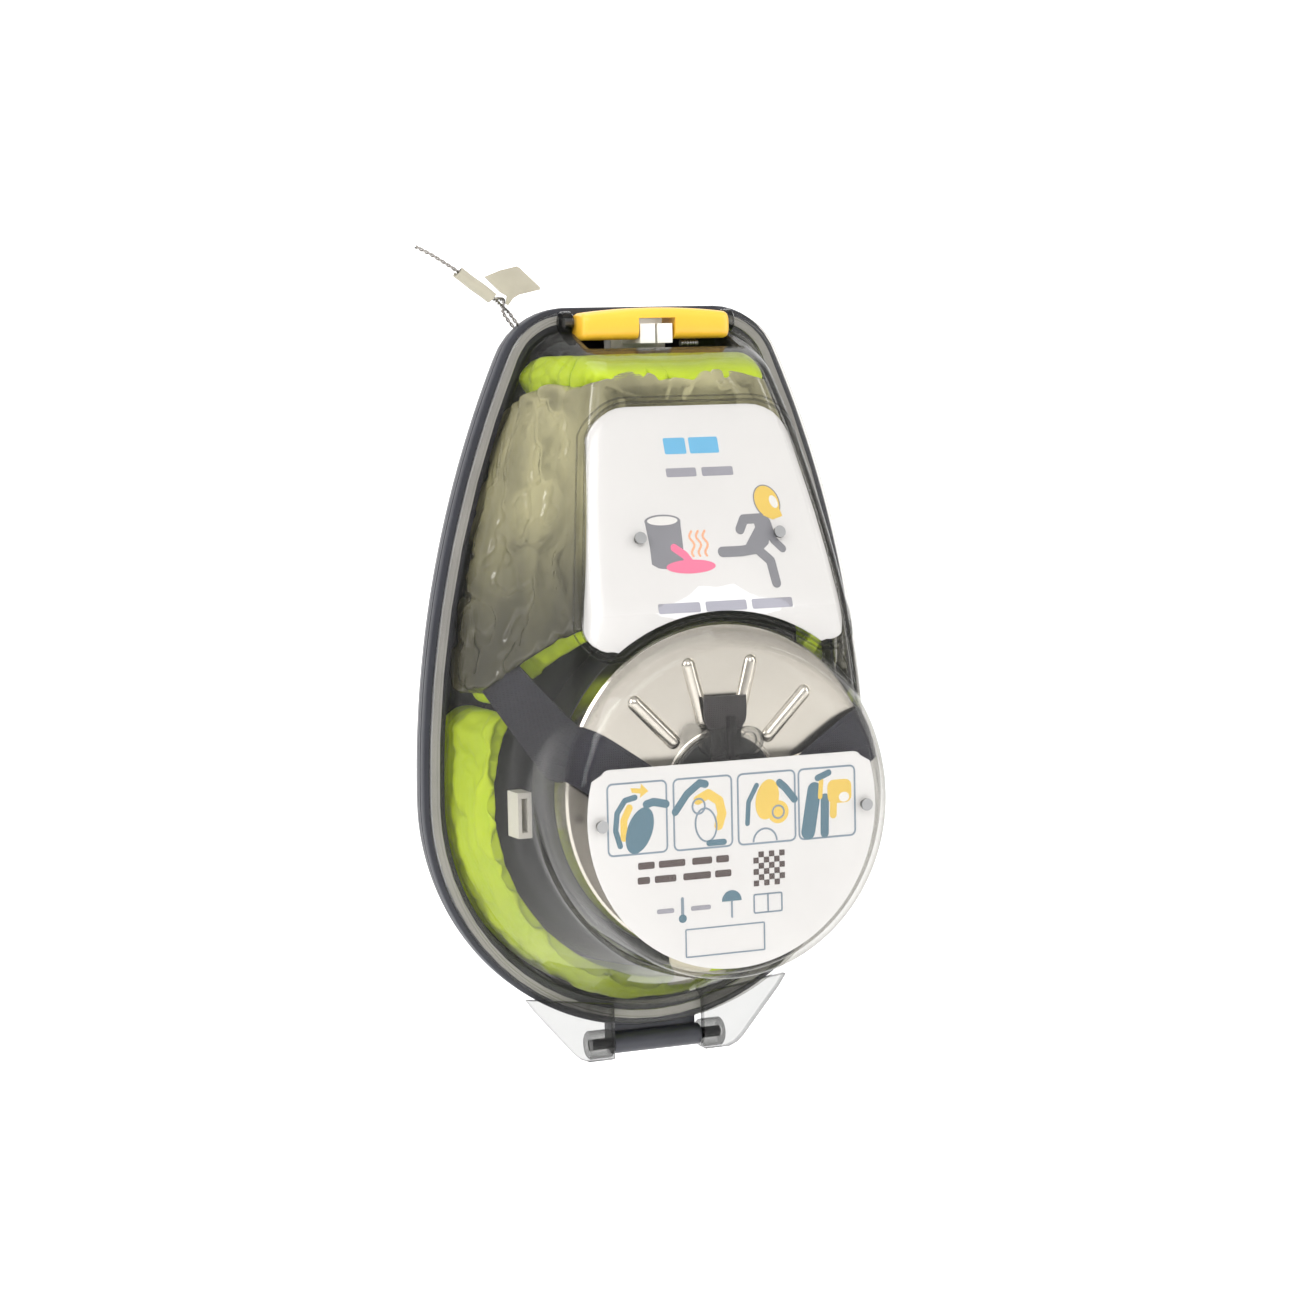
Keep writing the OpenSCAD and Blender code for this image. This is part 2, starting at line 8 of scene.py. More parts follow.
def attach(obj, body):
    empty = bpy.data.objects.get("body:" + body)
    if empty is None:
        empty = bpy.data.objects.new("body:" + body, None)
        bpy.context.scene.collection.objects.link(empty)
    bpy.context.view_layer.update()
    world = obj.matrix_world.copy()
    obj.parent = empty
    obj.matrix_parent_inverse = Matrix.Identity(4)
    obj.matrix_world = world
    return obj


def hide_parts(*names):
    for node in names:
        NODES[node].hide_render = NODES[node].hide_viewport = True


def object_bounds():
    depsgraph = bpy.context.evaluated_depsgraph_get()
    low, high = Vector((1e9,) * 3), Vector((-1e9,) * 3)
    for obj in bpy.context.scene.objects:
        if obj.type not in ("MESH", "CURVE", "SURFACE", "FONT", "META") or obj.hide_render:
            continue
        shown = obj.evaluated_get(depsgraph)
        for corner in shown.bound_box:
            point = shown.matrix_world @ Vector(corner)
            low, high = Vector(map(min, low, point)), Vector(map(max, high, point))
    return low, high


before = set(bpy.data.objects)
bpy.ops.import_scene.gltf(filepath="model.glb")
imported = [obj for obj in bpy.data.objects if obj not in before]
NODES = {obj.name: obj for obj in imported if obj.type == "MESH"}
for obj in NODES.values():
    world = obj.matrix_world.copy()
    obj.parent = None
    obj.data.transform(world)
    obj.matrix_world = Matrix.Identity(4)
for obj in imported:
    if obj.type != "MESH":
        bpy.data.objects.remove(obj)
CAD_BOX = [list(v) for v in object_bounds()]
MM = 0.001

# ---- case outline, in mm
# a low half circle, two long side arcs that run up to TURN, two top corners and a flat top
CASE_R, LOW_Z, SIDE_R, CORNER_R = 64.5, -5.0, 290.0, 19.0
TURN = math.radians(24.2)
SIDE_C = np.array([CASE_R - SIDE_R, LOW_Z])
CORNER_C = SIDE_C + (SIDE_R - CORNER_R) * np.array([math.cos(TURN), math.sin(TURN)])
TOP_Z = CORNER_C[1] + CORNER_R
# depths of the parting face and of the cover's flange, then the front face with its lean, the walls' draft
PART_Y, FLANGE_Y, FLANGE_FRONT = -26.0, -27.0, -30.0
FRONT_Y, LEAN_Z, LEAN, DRAFT, FLANGE_W = -75.8, 47.0, 0.36, 0.39, 4.0
WALL = 1.2
DRUM_Y = -81.7
RECESS_X, RECESS_Z = 22.0, 115.0
HINGE_Z, AXLE_R, KNUCKLE_X = -74.5, 1.5, 13.2
PIVOT_Y, PIVOT_Z = -30.5, 122.0
FILTER_R, MASK_Z, MASK_R = 43.8, -4.0, 49.5
LINING_Y = -16.0    # depth of the upright line that the hood's sheets are laid out from
RIM_INSET = 6.2     # how far in the rear shell's rim leaves room
HUB = np.array([0.0, -2.0])


def inset_at(x, z):
    """Distance inwards from the flange's edge, in mm."""
    ax = np.abs(x)
    low = CASE_R - np.hypot(ax, z - LOW_Z)
    qx, qz = ax - SIDE_C[0], z - SIDE_C[1]
    side = SIDE_R - np.hypot(qx, qz)
    cx, cz = ax - CORNER_C[0], z - CORNER_C[1]
    corner = CORNER_R - np.hypot(cx, cz)
    top = TOP_Z - z
    past_side = np.arctan2(qz, qx) > TURN
    upper = np.where(past_side, np.where(cx > 0, np.minimum(corner, side + 99), top), side)
    upper = np.where(past_side & (cx > 0) & (np.hypot(cx, cz) < 3), np.minimum(side, top), upper)
    return np.where(z < LOW_Z, low, upper)


def front_at(z):
    """Depth of the outside of the front, which leans back above LEAN_Z."""
    return FRONT_Y + LEAN * np.maximum(0, z - LEAN_Z)


def bisect(fits, lo, hi, rounds):
    """Narrows lo and hi, for each entry, round the largest value that still fits."""
    for _ in range(rounds):
        mid = (lo + hi) / 2
        ok = fits(mid)
        lo, hi = np.where(ok, mid, lo), np.where(ok, hi, mid)
    return lo, hi


def ray(theta, inset):
    """Radius from the hub at which the inset is reached along each angle."""
    lo, hi = bisect(lambda r: inset_at(HUB[0] + r * np.cos(theta), HUB[1] + r * np.sin(theta)) > inset,
                    np.zeros_like(theta), np.full_like(theta, 200.0), 40)
    return (lo + hi) / 2


def soft_min(a, b, k):
    """Smaller of two values, rounded over about k where they cross."""
    m = np.minimum(a, b)
    return m - k * np.log(np.exp(-(a - m) / k) + np.exp(-(b - m) / k))


def loft_y(x, z, skin=0.0):
    """Depth of the cover's front and walls at a point, on a surface that lies skin inside the outer one."""
    depth = soft_min(FLANGE_Y - front_at(z), (inset_at(x, z) - skin - FLANGE_W) / DRAFT, 1.8)
    return FLANGE_Y - np.maximum(depth, 0) + skin


# drum rings from its root to its flat face: depth, share of the face, radius, height of centre
DRUM = [(-58, 0, 48.4, -1.4), (-64, 0, 48.2, -1.7), (-69, 0, 47.9, -2.0), (-74, 0, 46.8, -2.6),
        (-76.5, 0.2, 46.1, -3.0), (-78.6, 0.6, 45.2, -3.6), (-80.2, 0.9, 44.3, -4.1), (-81.2, 1, 43.4, -4.35),
        (-81.65, 1, 42.5, -4.5), (DRUM_Y, 1, 41.4, -4.5)]


def catmull_rom(p, t):
    """Point at t from 0 to 1 between the middle two of four points."""
    return 0.5 * (2 * p[1] + (p[2] - p[0]) * t + (2 * p[0] - 5 * p[1] + 4 * p[2] - p[3]) * t * t
                  + (3 * p[1] - p[0] - 3 * p[2] + p[3]) * t ** 3)


def drum_ring(t, skin=0.0):
    """(depth, radius, centre height) at t from 0 (root) to 1 (edge of the flat face)."""
    n = len(DRUM) - 1
    s = min(max(t, 0), 1) * n
    i = min(int(s), n - 1)
    y, face, r, z = catmull_rom([np.array(DRUM[min(max(j, 0), n)]) for j in (i - 1, i, i + 1, i + 2)], s - i)
    return y + skin * min(1, face * 1.1), r - skin, z


def drum_point(t, theta, skin=0.0):
    y, r, z = drum_ring(t, skin)
    return r * np.cos(theta), np.full_like(theta, y), z + r * np.sin(theta)


# ---- mesh helpers
def new_mesh(name, verts, faces, smooth=True):
    me = bpy.data.meshes.new(name)
    me.from_pydata([tuple(float(c) * MM for c in v) for v in verts], [], faces)
    me.validate()
    me.update()
    if smooth:
        me.shade_smooth()
    return link_new(name, me)


def link_new(name, mesh):
    ob = bpy.data.objects.new(name, mesh)
    bpy.context.scene.collection.objects.link(ob)
    return ob


def ring_faces(rings, n, wrap=True, start=0):
    """Quads between consecutive rings of n points each."""
    out = []
    last = n if wrap else n - 1
    for k in range(rings - 1):
        for i in range(last):
            j = (i + 1) % n
            a, b = start + k * n, start + (k + 1) * n
            out.append((a + i, a + j, b + j, b + i))
    return out


def fix_normals(ob, weld=True):
    bm = bmesh.new()
    bm.from_mesh(ob.data)
    if weld:
        bmesh.ops.remove_doubles(bm, verts=bm.verts, dist=1e-6)
    bmesh.ops.recalc_face_normals(bm, faces=bm.faces)
    bm.to_mesh(ob.data)
    bm.free()
    ob.data.update()


def apply_mods(ob):
    bpy.context.view_layer.update()
    deps = bpy.context.evaluated_depsgraph_get()
    me = bpy.data.meshes.new_from_object(ob.evaluated_get(deps))
    old = ob.data
    ob.modifiers.clear()
    ob.data = me
    me.name = ob.name
    bpy.data.meshes.remove(old)


def sharpen(ob, angle=35):
    ob.data.shade_smooth()
    ob.data.set_sharp_from_angle(angle=math.radians(angle))


def join(target, others):
    for o in bpy.context.selected_objects:
        o.select_set(False)
    for o in others:
        o.select_set(True)
    target.select_set(True)
    bpy.context.view_layer.objects.active = target
    bpy.ops.object.join()
    return target


def thicken(ob, thick):
    m = ob.modifiers.new("thick", "SOLIDIFY")
    m.thickness = thick * MM
    m.offset = 0
    apply_mods(ob)


def cut(ob, cutters):
    """Takes the cutters out of a piece and removes them."""
    tool = join(cutters[0], cutters[1:]) if len(cutters) > 1 else cutters[0]
    mod = ob.modifiers.new("cut", "BOOLEAN")
    mod.object = tool
    mod.operation = "DIFFERENCE"
    mod.solver = "EXACT"
    apply_mods(ob)
    bpy.data.objects.remove(tool)


def place(ob, node, body, stands_in=True):
    """Puts a piece on its body. It hides the node unless another piece does."""
    if stands_in:
        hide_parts(node)
    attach(ob, body)


def lathe(name, profile, axis="y", centre=(0, 0, 0), n=64):
    """Turned ring with a closed profile of (radius, distance along the axis); the axis runs through centre."""
    verts, faces = [], []
    for r, h in profile:
        for i in range(n):
            a = 2 * math.pi * i / n
            c, s = r * math.cos(a), r * math.sin(a)
            p = {"y": (c, h, s), "x": (h, c, s), "z": (c, s, h)}[axis]
            verts.append([p[0] + centre[0], p[1] + centre[1], p[2] + centre[2]])
    faces = ring_faces(len(profile), n)
    k = len(profile) - 1
    for i in range(n):
        faces.append((k * n + i, k * n + (i + 1) % n, (i + 1) % n, i))
    ob = new_mesh(name, verts, faces)
    fix_normals(ob)
    return ob


def turned(name, profile, axis, centre, n=64, angle=40):
    """Turned ring with crisp corners."""
    ob = lathe(name, profile, axis, centre, n)
    sharpen(ob, angle)
    return ob


def extrude_outline(name, pts, place, depth, bevel=0.0, segments=3):
    """Solid from a 2D outline; place(u, v, w) gives the 3D point, w runs from 0 to depth."""
    n = len(pts)
    verts = [place(u, v, 0) for u, v in pts] + [place(u, v, depth) for u, v in pts]
    faces = [tuple(range(n)), tuple(range(2 * n - 1, n - 1, -1))]
    faces += [(i, n + i, n + (i + 1) % n, (i + 1) % n) for i in range(n)]
    ob = new_mesh(name, verts, faces)
    fix_normals(ob)
    if bevel:
        m = ob.modifiers.new("b", "BEVEL")
        m.width = bevel * MM
        m.segments = segments
        m.limit_method = "ANGLE"
        m.angle_limit = math.radians(40)
        apply_mods(ob)
    sharpen(ob, 40)
    return ob


# ---- materials
def add(nt, kind, inputs, **settings):
    """New shader node. An input takes a value, or a socket that is linked to it."""
    n = nt.nodes.new("ShaderNode" + kind)
    for key, value in settings.items():
        setattr(n, key, value)
    feed(nt, n, inputs)
    return n


def feed(nt, n, inputs):
    for key, value in inputs.items():
        if isinstance(value, bpy.types.NodeSocket):
            nt.links.new(value, n.inputs[key])
        else:
            n.inputs[key].default_value = value


def blank(name):
    """New material: its tree, its main shader and its object coordinates."""
    m = bpy.data.materials.new(name)
    m.use_nodes = True
    nt = m.node_tree
    return m, nt, nt.nodes["Principled BSDF"], add(nt, "TexCoord", {}).outputs["Object"]


def mat(name, colour, rough=0.5, metal=0.0, vary=0.08, scale=60.0, bump=0.1, bump_scale=400.0,
        sheen=0.0, coat=0.0, vary_rough=0.08, stretch=None):
    """Solid material whose colour and gloss drift over scale, with a fine grain of bump_scale."""
    m, nt, shader, src = blank(name)
    if stretch:
        src = add(nt, "Mapping", {"Scale": stretch, "Vector": src}).outputs["Vector"]
    drift = add(nt, "TexNoise", {"Scale": scale, "Detail": 4, "Vector": src}).outputs["Fac"]
    ramp = add(nt, "ValToRGB", {"Fac": drift})
    for end, position, share in zip(ramp.color_ramp.elements, (0.3, 0.7), (1 - vary, 1 + vary)):
        end.position = position
        end.color = (*np.clip(np.array(colour) * share, 0, 1), 1)
    rough_map = add(nt, "MapRange", {"Value": drift, "To Min": max(0.02, rough - vary_rough),
                                     "To Max": min(1, rough + vary_rough)})
    feed(nt, shader, {"Base Color": ramp.outputs["Color"], "Roughness": rough_map.outputs["Result"],
                      "Metallic": metal, "Sheen Weight": sheen, "Coat Weight": coat})
    fine = add(nt, "TexNoise", {"Scale": bump_scale, "Detail": 3, "Vector": src})
    grain = add(nt, "Bump", {"Strength": bump, "Distance": 0.0004, "Height": fine.outputs["Fac"]})
    feed(nt, shader, {"Normal": grain.outputs["Normal"]})
    return m


def weave_mat(name, colour, dark, scale=900.0, rough=0.85, sheen=0.3, painted_glow=0.0, shade=0.12, bump=0.35):
    """Plain woven cloth: two crossed sets of fine threads, with slow changes of colour, and an optional faint
    glow of painted light.
    """
    m, nt, shader, src = blank(name)
    across, along = [add(nt, "TexWave", {"Scale": scale, "Distortion": 1.5, "Vector": src},
                         bands_direction=way).outputs["Fac"] for way in "XZ"]
    threads = add(nt, "Math", {0: across, 1: along}, operation="MULTIPLY").outputs["Value"]
    drift = add(nt, "TexNoise", {"Scale": 45, "Detail": 5, "Vector": src})
    spread = add(nt, "MapRange", {"From Min": 0.3, "From Max": 0.7, "Value": drift.outputs["Fac"]})
    tone = add(nt, "Mix", {"A": (*dark, 1), "B": (*colour, 1), "Factor": spread.outputs["Result"]},
               data_type="RGBA")
    gaps = add(nt, "MapRange", {"To Min": 1 - shade, "To Max": 1.0, "Value": threads})
    cloth = add(nt, "Mix", {"Factor": 1, "A": tone.outputs["Result"], "B": gaps.outputs["Result"]},
                data_type="RGBA", blend_type="MULTIPLY").outputs["Result"]
    relief = add(nt, "Bump", {"Strength": bump, "Distance": 0.0003, "Height": threads})
    feed(nt, shader, {"Base Color": cloth, "Roughness": rough, "Sheen Weight": sheen,
                      "Normal": relief.outputs["Normal"]})
    # painted light: a faint glow in the cloth's own colour
    if painted_glow:
        feed(nt, shader, {"Emission Color": cloth, "Emission Strength": painted_glow})
    return m


def clear_mat(name, face, edge, rough, gloss=1.0, haze=0.0):
    """Clear moulded plastic as a thin skin: it tints light more at grazing angles and mirrors the lamps."""
    m, nt, shader, src = blank(name)
    nt.nodes.remove(shader)
    out = nt.nodes["Material Output"]
    facing = add(nt, "LayerWeight", {"Blend": 0.35}).outputs["Facing"]
    ripple = add(nt, "TexNoise", {"Scale": 30, "Detail": 3, "Vector": src}).outputs["Fac"]
    tint = add(nt, "Mix", {"A": (*face, 1), "B": (*edge, 1), "Factor": facing}, data_type="RGBA")
    body = add(nt, "BsdfTransparent", {"Color": tint.outputs["Result"]}).outputs["BSDF"]
    if haze:
        milk = add(nt, "BsdfDiffuse", {"Color": (0.86, 0.85, 0.82, 1)})
        share = add(nt, "MapRange", {"To Min": haze * 0.25, "To Max": min(1.0, haze * 2.2), "Value": facing})
        body = add(nt, "MixShader", {"Fac": share.outputs["Result"], 1: body,
                                     2: milk.outputs["BSDF"]}).outputs["Shader"]
    # mirror share, the same from both sides of the skin
    grazing = add(nt, "LayerWeight", {"Blend": 0.5}).outputs["Facing"]
    steep = add(nt, "Math", {0: grazing, 1: 4.3}, operation="POWER").outputs["Value"]
    mirror = add(nt, "Math", {0: steep, 1: 0.62 * gloss, 2: 0.009 * gloss}, operation="MULTIPLY_ADD")
    polish = add(nt, "MapRange", {"To Min": rough * 0.7, "To Max": rough * 1.4, "Value": ripple})
    relief = add(nt, "Bump", {"Strength": 0.04, "Distance": 0.0005, "Height": ripple})
    shine = add(nt, "BsdfGlossy", {"Color": (1, 1, 1, 1), "Roughness": polish.outputs["Result"],
                                   "Normal": relief.outputs["Normal"]})
    mixed = add(nt, "MixShader", {"Fac": mirror.outputs["Value"], 1: body, 2: shine.outputs["BSDF"]})
    nt.links.new(mixed.outputs["Shader"], out.inputs["Surface"])
    return m


def paint(ob, material):
    ob.data.materials.clear()
    ob.data.materials.append(material)


M = {
    "shell": mat("shell_plastic", (0.018, 0.019, 0.027), 0.42, vary=0.15, scale=90, bump=0.12, bump_scale=1500),
    "black": mat("black_plastic", (0.02, 0.02, 0.021), 0.33, vary=0.2, bump=0.06, bump_scale=1200),
    "axle": mat("axle_black", (0.022, 0.02, 0.02), 0.25, vary=0.25, bump=0.05, bump_scale=900, coat=0.4),
    "white_part": mat("white_plastic", (0.82, 0.8, 0.75), 0.4, vary=0.04, bump=0.05),
    "label": mat("label_film", (0.80, 0.80, 0.815), 0.42, vary=0.02, scale=30, bump=0.02, bump_scale=200,
                 vary_rough=0.03),
    "yellow": mat("yellow_handle", (0.74, 0.42, 0.03), 0.36, vary=0.05, scale=50, bump=0.05, bump_scale=900,
                  coat=0.15),
    "steel": mat("lid_steel", (0.66, 0.63, 0.575), 0.24, metal=1.0, vary=0.05, scale=25, bump=0.03,
                 bump_scale=900),
    "can": mat("can_paint", (0.035, 0.035, 0.04), 0.4, vary=0.15, bump=0.05),
    "screw": mat("screw_steel", (0.34, 0.34, 0.34), 0.35, metal=1.0, vary=0.1, bump=0.05),
    "rubber": mat("mask_rubber", (0.016, 0.016, 0.02), 0.5, vary=0.2, bump=0.08, bump_scale=1100, sheen=0.1),
    "seal": mat("rim_rubber", (0.33, 0.325, 0.31), 0.6, vary=0.1, bump=0.08),
    "valve": mat("valve_rubber", (0.6, 0.55, 0.42), 0.45, vary=0.06, bump=0.04),
    "tag": mat("seal_plastic", (0.33, 0.305, 0.235), 0.42, vary=0.08, scale=120, bump=0.15, bump_scale=500),
    "wire": mat("seal_wire_steel", (0.28, 0.26, 0.24), 0.35, metal=0.9, vary=0.2, bump=0.2, bump_scale=2500),
    "media": mat("filter_paper", (0.85, 0.85, 0.8), 0.9, vary=0.05, bump=0.3, bump_scale=2000),
    "carbon": mat("carbon_grain", (0.015, 0.015, 0.015), 0.6, vary=0.5, scale=900, bump=0.9, bump_scale=900),
    "tab": weave_mat("tab_web", (0.78, 0.74, 0.58), (0.62, 0.58, 0.44), scale=700),
    "strap": weave_mat("strap_web", (0.030, 0.030, 0.046), (0.02, 0.02, 0.03), scale=520, bump=0.5, sheen=0.05),
    "plug_tab": weave_mat("plug_strap", (0.05, 0.045, 0.048), (0.03, 0.027, 0.03), scale=600),
    # the hood cloth is given a faint glow of painted light
    "hood": weave_mat("hood_cloth", (0.62, 0.80, 0.0), (0.44, 0.58, 0.0), scale=1300, rough=0.6, sheen=0.1,
                      shade=0.05, bump=0.12, painted_glow=0.1),
    "visor": mat("visor_film", (0.27, 0.255, 0.14), 0.25, vary=0.72, scale=42, bump=0.03, coat=0.6,
                 stretch=(1, 1, 0.35)),
    "clear": clear_mat("clear_cover", (0.975, 0.97, 0.962), (0.44, 0.43, 0.405), rough=0.05, haze=0.01),
    "clear_bits": clear_mat("clear_clip", (0.84, 0.84, 0.835), (0.10, 0.10, 0.105), rough=0.04, gloss=1.3),
    "clear_thick": clear_mat("clear_ear", (0.74, 0.74, 0.735), (0.10, 0.10, 0.105), rough=0.04, gloss=1.3),
}
for ink, colour, vary in (("pale", (0.16, 0.50, 0.80), 0.03), ("grey", (0.26, 0.265, 0.30), 0.04),
                          ("text", (0.36, 0.36, 0.42), 0.04), ("dark", (0.10, 0.075, 0.075), 0.06),
                          ("blue", (0.11, 0.21, 0.28), 0.04), ("line", (0.25, 0.32, 0.40), 0.04),
                          ("yellow", (0.84, 0.60, 0.13), 0.03), ("pink", (0.90, 0.22, 0.38), 0.03),
                          ("orange", (0.90, 0.48, 0.30), 0.03), ("white", (0.84, 0.84, 0.84), 0.02)):
    M["ink_" + ink] = mat("ink_" + ink, colour, 0.5, vary=vary, bump=0.02)


def painted_shade_down(material, z_dark, z_light, share):
    """Paints shade into a material's colour: multiplies it so that it darkens towards a lower height, in mm, and
    is a little lighter at the top.
    """
    nt = material.node_tree
    colour = nt.nodes["Principled BSDF"].inputs["Base Color"]
    source = colour.links[0].from_socket
    height = add(nt, "SeparateXYZ", {"Vector": add(nt, "TexCoord", {}).outputs["Object"]})
    level = add(nt, "MapRange", {"Value": height.outputs["Z"], "From Min": z_dark * MM, "From Max": z_light * MM,
                                 "To Min": share, "To Max": 1.15}, interpolation_type="SMOOTHSTEP")
    scaled = add(nt, "VectorMath", {0: source, "Scale": level.outputs["Result"]}, operation="SCALE")
    nt.links.new(scaled.outputs["Vector"], colour)


# painted shade: the visor film darkens towards its bottom and is a little lighter at its top
painted_shade_down(M["visor"], 30, 84, 0.28)

# the CAD nodes that stay visible, or that stand in for a hidden one's colour, by material
CARRIED = {
    "shell": "rear_shell", "seal": "rim_seal", "axle": "hinge_axle", "clear_bits": "tab_clip",
    "black": "belt_clip filter_plug mask_ring valve_cap", "plug_tab": "plug_tab",
    "white_part": "catch_block valve_seat nose_clip strap_clips", "label": "upper_label lower_label",
    "yellow": "latch_handle", "steel": "filter_lid", "can": "filter_can",
    "screw": "case_screws label_pins latch_pins latch_spring filter_screens filter_base",
    "media": "particle_filter", "carbon": "carbon_bed", "rubber": "filter_gasket half_mask neck_seal",
    "valve": "inhalation_valve exhalation_valve", "hood": "hood", "visor": "visor", "strap": "harness_strap",
    "tab": "pull_tab", "wire": "seal_wire", "tag": "seal_sleeve seal_flag",
}
for key, names in CARRIED.items():
    for name in names.split():
        paint(NODES[name], M[key])

# ---- clear cover
N_AROUND = 288
THETA = np.linspace(0, 2 * np.pi, N_AROUND, endpoint=False) + 0.004


def cover_rings(skin, flange):
    """Rings of points from the flange to the middle of the drum, for the outside or the inside skin."""
    rings = []
    for inset, y in flange:
        r = ray(THETA, inset)
        rings.append(np.c_[HUB[0] + r * np.cos(THETA), np.full(N_AROUND, y), HUB[1] + r * np.sin(THETA)])
    # where the drum's wall leaves the loft, for each angle
    foot_t = np.ones(N_AROUND)
    foot = np.zeros((N_AROUND, 3))
    open_ones = np.ones(N_AROUND, bool)
    for t in np.linspace(0, 1, 401):
        x, y, z = drum_point(t, THETA, skin)
        reached = open_ones & (y < loft_y(x, z, skin) - 0.02)
        foot_t[reached] = t
        foot[reached] = np.c_[x, loft_y(x, z, skin), z][reached]
        open_ones &= ~reached
    angle = np.arctan2(foot[:, 2] - HUB[1], foot[:, 0] - HUB[0])
    r_foot = np.hypot(foot[:, 2] - HUB[1], foot[:, 0] - HUB[0])
    start = flange[-1][0] + 0.35
    r_start = ray(angle, start)
    total = inset_at(foot[:, 0], foot[:, 2])
    deep = np.minimum(33.0, start + (total - start) * 0.8)
    r_deep = ray(angle, deep)
    n1, n2, n3 = 30, 9, 26
    for r_from, r_to, n in ((r_start, r_deep, n1), (r_deep, r_foot, n2)):
        for k in range(n):
            r = r_from + (r_to - r_from) * k / n
            x, z = HUB[0] + r * np.cos(angle), HUB[1] + r * np.sin(angle)
            rings.append(np.c_[x, loft_y(x, z, skin), z])
    for k in range(n3 + 1):
        t = foot_t + (1 - foot_t) * (k / n3)
        rings.append(np.array([drum_point(tt, a, skin) for tt, a in zip(t, THETA)]))
    y_c, r_c, z_c = drum_ring(1, skin)
    for f in (0.86, 0.6, 0.34, 0.12):
        rings.append(np.c_[r_c * f * np.cos(THETA), np.full(N_AROUND, y_c), z_c + r_c * f * np.sin(THETA)])
    return rings, (0, y_c, z_c), len(flange) + n1 + n2


def smooth_rings(rings, crease):
    """Rounds the crease where the drum meets the loft."""
    first, last = crease - 4, crease + 5
    for _ in range(4):
        new = [r.copy() for r in rings]
        for k in range(first, last):
            w = 1 - abs(k - (first + last) / 2) / ((last - first) / 2 + 0.01)
            new[k] = rings[k] * (1 - 0.5 * w) + 0.25 * w * (rings[k - 1] + rings[k + 1])
        rings = new
    return rings


def build_cover():
    outer_flange = [(0.35, FLANGE_Y), (0, FLANGE_Y - 0.35), (0, FLANGE_FRONT + 0.4), (0.4, FLANGE_FRONT),
                    (1.3, FLANGE_FRONT), (1.55, FLANGE_FRONT - 0.45), (2.0, FLANGE_FRONT - 0.45),
                    (2.25, FLANGE_FRONT), (4.6, FLANGE_FRONT), (5.1, FLANGE_FRONT - 0.15)]
    inner_flange = [(5.2, FLANGE_Y), (5.3, FLANGE_Y - 0.3)]
    verts, faces, starts = [], [], []
    for skin, flange in ((0.0, outer_flange), (WALL, inner_flange)):
        rings, middle, crease = cover_rings(skin, flange)
        rings = smooth_rings(rings, crease)
        base = len(verts)
        verts += [p for r in rings for p in r] + [middle]
        rim = base + (len(rings) - 1) * N_AROUND
        skin_faces = ring_faces(len(rings), N_AROUND, start=base) \
            + [(rim + i, rim + (i + 1) % N_AROUND, len(verts) - 1) for i in range(N_AROUND)]
        faces += [f if skin == 0 else tuple(reversed(f)) for f in skin_faces]
        starts.append(base)
    faces += [(i, starts[1] + i, starts[1] + (i + 1) % N_AROUND, (i + 1) % N_AROUND) for i in range(N_AROUND)]
    ob = new_mesh("clear_cover_shell", verts, faces)
    fix_normals(ob)
    return ob


def rounded_box(name, low, high, bevel, segments=3):
    bm = bmesh.new()
    bmesh.ops.create_cube(bm, size=1)
    for v in bm.verts:
        v.co = Vector([(low[i] + high[i]) / 2 + v.co[i] * (high[i] - low[i]) for i in range(3)]) * MM
    if bevel:
        bmesh.ops.bevel(bm, geom=bm.edges[:], offset=bevel * MM, segments=segments, affect="EDGES", profile=0.5)
    me = bpy.data.meshes.new(name)
    bm.to_mesh(me)
    bm.free()
    ob = link_new(name, me)
    sharpen(ob, 40)
    return ob


cover = build_cover()
cut(cover, [rounded_box("cutter", (-RECESS_X, -75, RECESS_Z), (RECESS_X, PART_Y + 5, 150), 0)])
sharpen(cover, 40)


def sheet(name, grid, thick):
    """Closed thin solid from a grid of points: thick is the offset vector of the second face, in mm."""
    rows, cols = len(grid), len(grid[0])
    verts = [p for row in grid for p in row]
    n = len(verts)
    verts = verts + [(np.array(p) + thick).tolist() for p in verts]
    faces = []
    for i in range(rows - 1):
        for j in range(cols - 1):
            a, b, c, d = i * cols + j, i * cols + j + 1, (i + 1) * cols + j + 1, (i + 1) * cols + j
            faces.append((a, b, c, d))
            faces.append((n + d, n + c, n + b, n + a))
    edge = [(0, j) for j in range(cols)] + [(i, cols - 1) for i in range(1, rows)] \
        + [(rows - 1, j) for j in range(cols - 2, -1, -1)] + [(i, 0) for i in range(rows - 2, 0, -1)]
    ids = [i * cols + j for i, j in edge]
    for a, b in zip(ids, ids[1:] + ids[:1]):
        faces.append((b, a, n + a, n + b))
    ob = new_mesh(name, verts, faces)
    fix_normals(ob)
    sharpen(ob, 40)
    return ob


def front_depth(x, z):
    return float(loft_y(np.array(float(x)), np.array(float(z))))


def recess_tray():
    """Shelf and two cheeks of the recess that the handle lies in."""
    steps = np.linspace(0, 1, 8)
    xs = np.linspace(-RECESS_X - WALL, RECESS_X + WALL, 31)
    shelf = [[(x, FLANGE_Y + (front_depth(x, RECESS_Z - 0.5) + 0.15 - FLANGE_Y) * s, RECESS_Z) for x in xs]
             for s in steps]
    parts = [sheet("recess_floor", shelf, (0, 0, -WALL))]
    for side in (-1, 1):
        rows = []
        for z in np.linspace(RECESS_Z, TOP_Z - 0.6, 12):
            y1 = min(front_depth(side * RECESS_X, z), FLANGE_FRONT)
            rows.append([(side * RECESS_X, FLANGE_Y + (y1 + 0.1 - FLANGE_Y) * s, z) for s in steps])
        parts.append(sheet("recess_side", rows, (side * WALL, 0, 0)))
    return parts


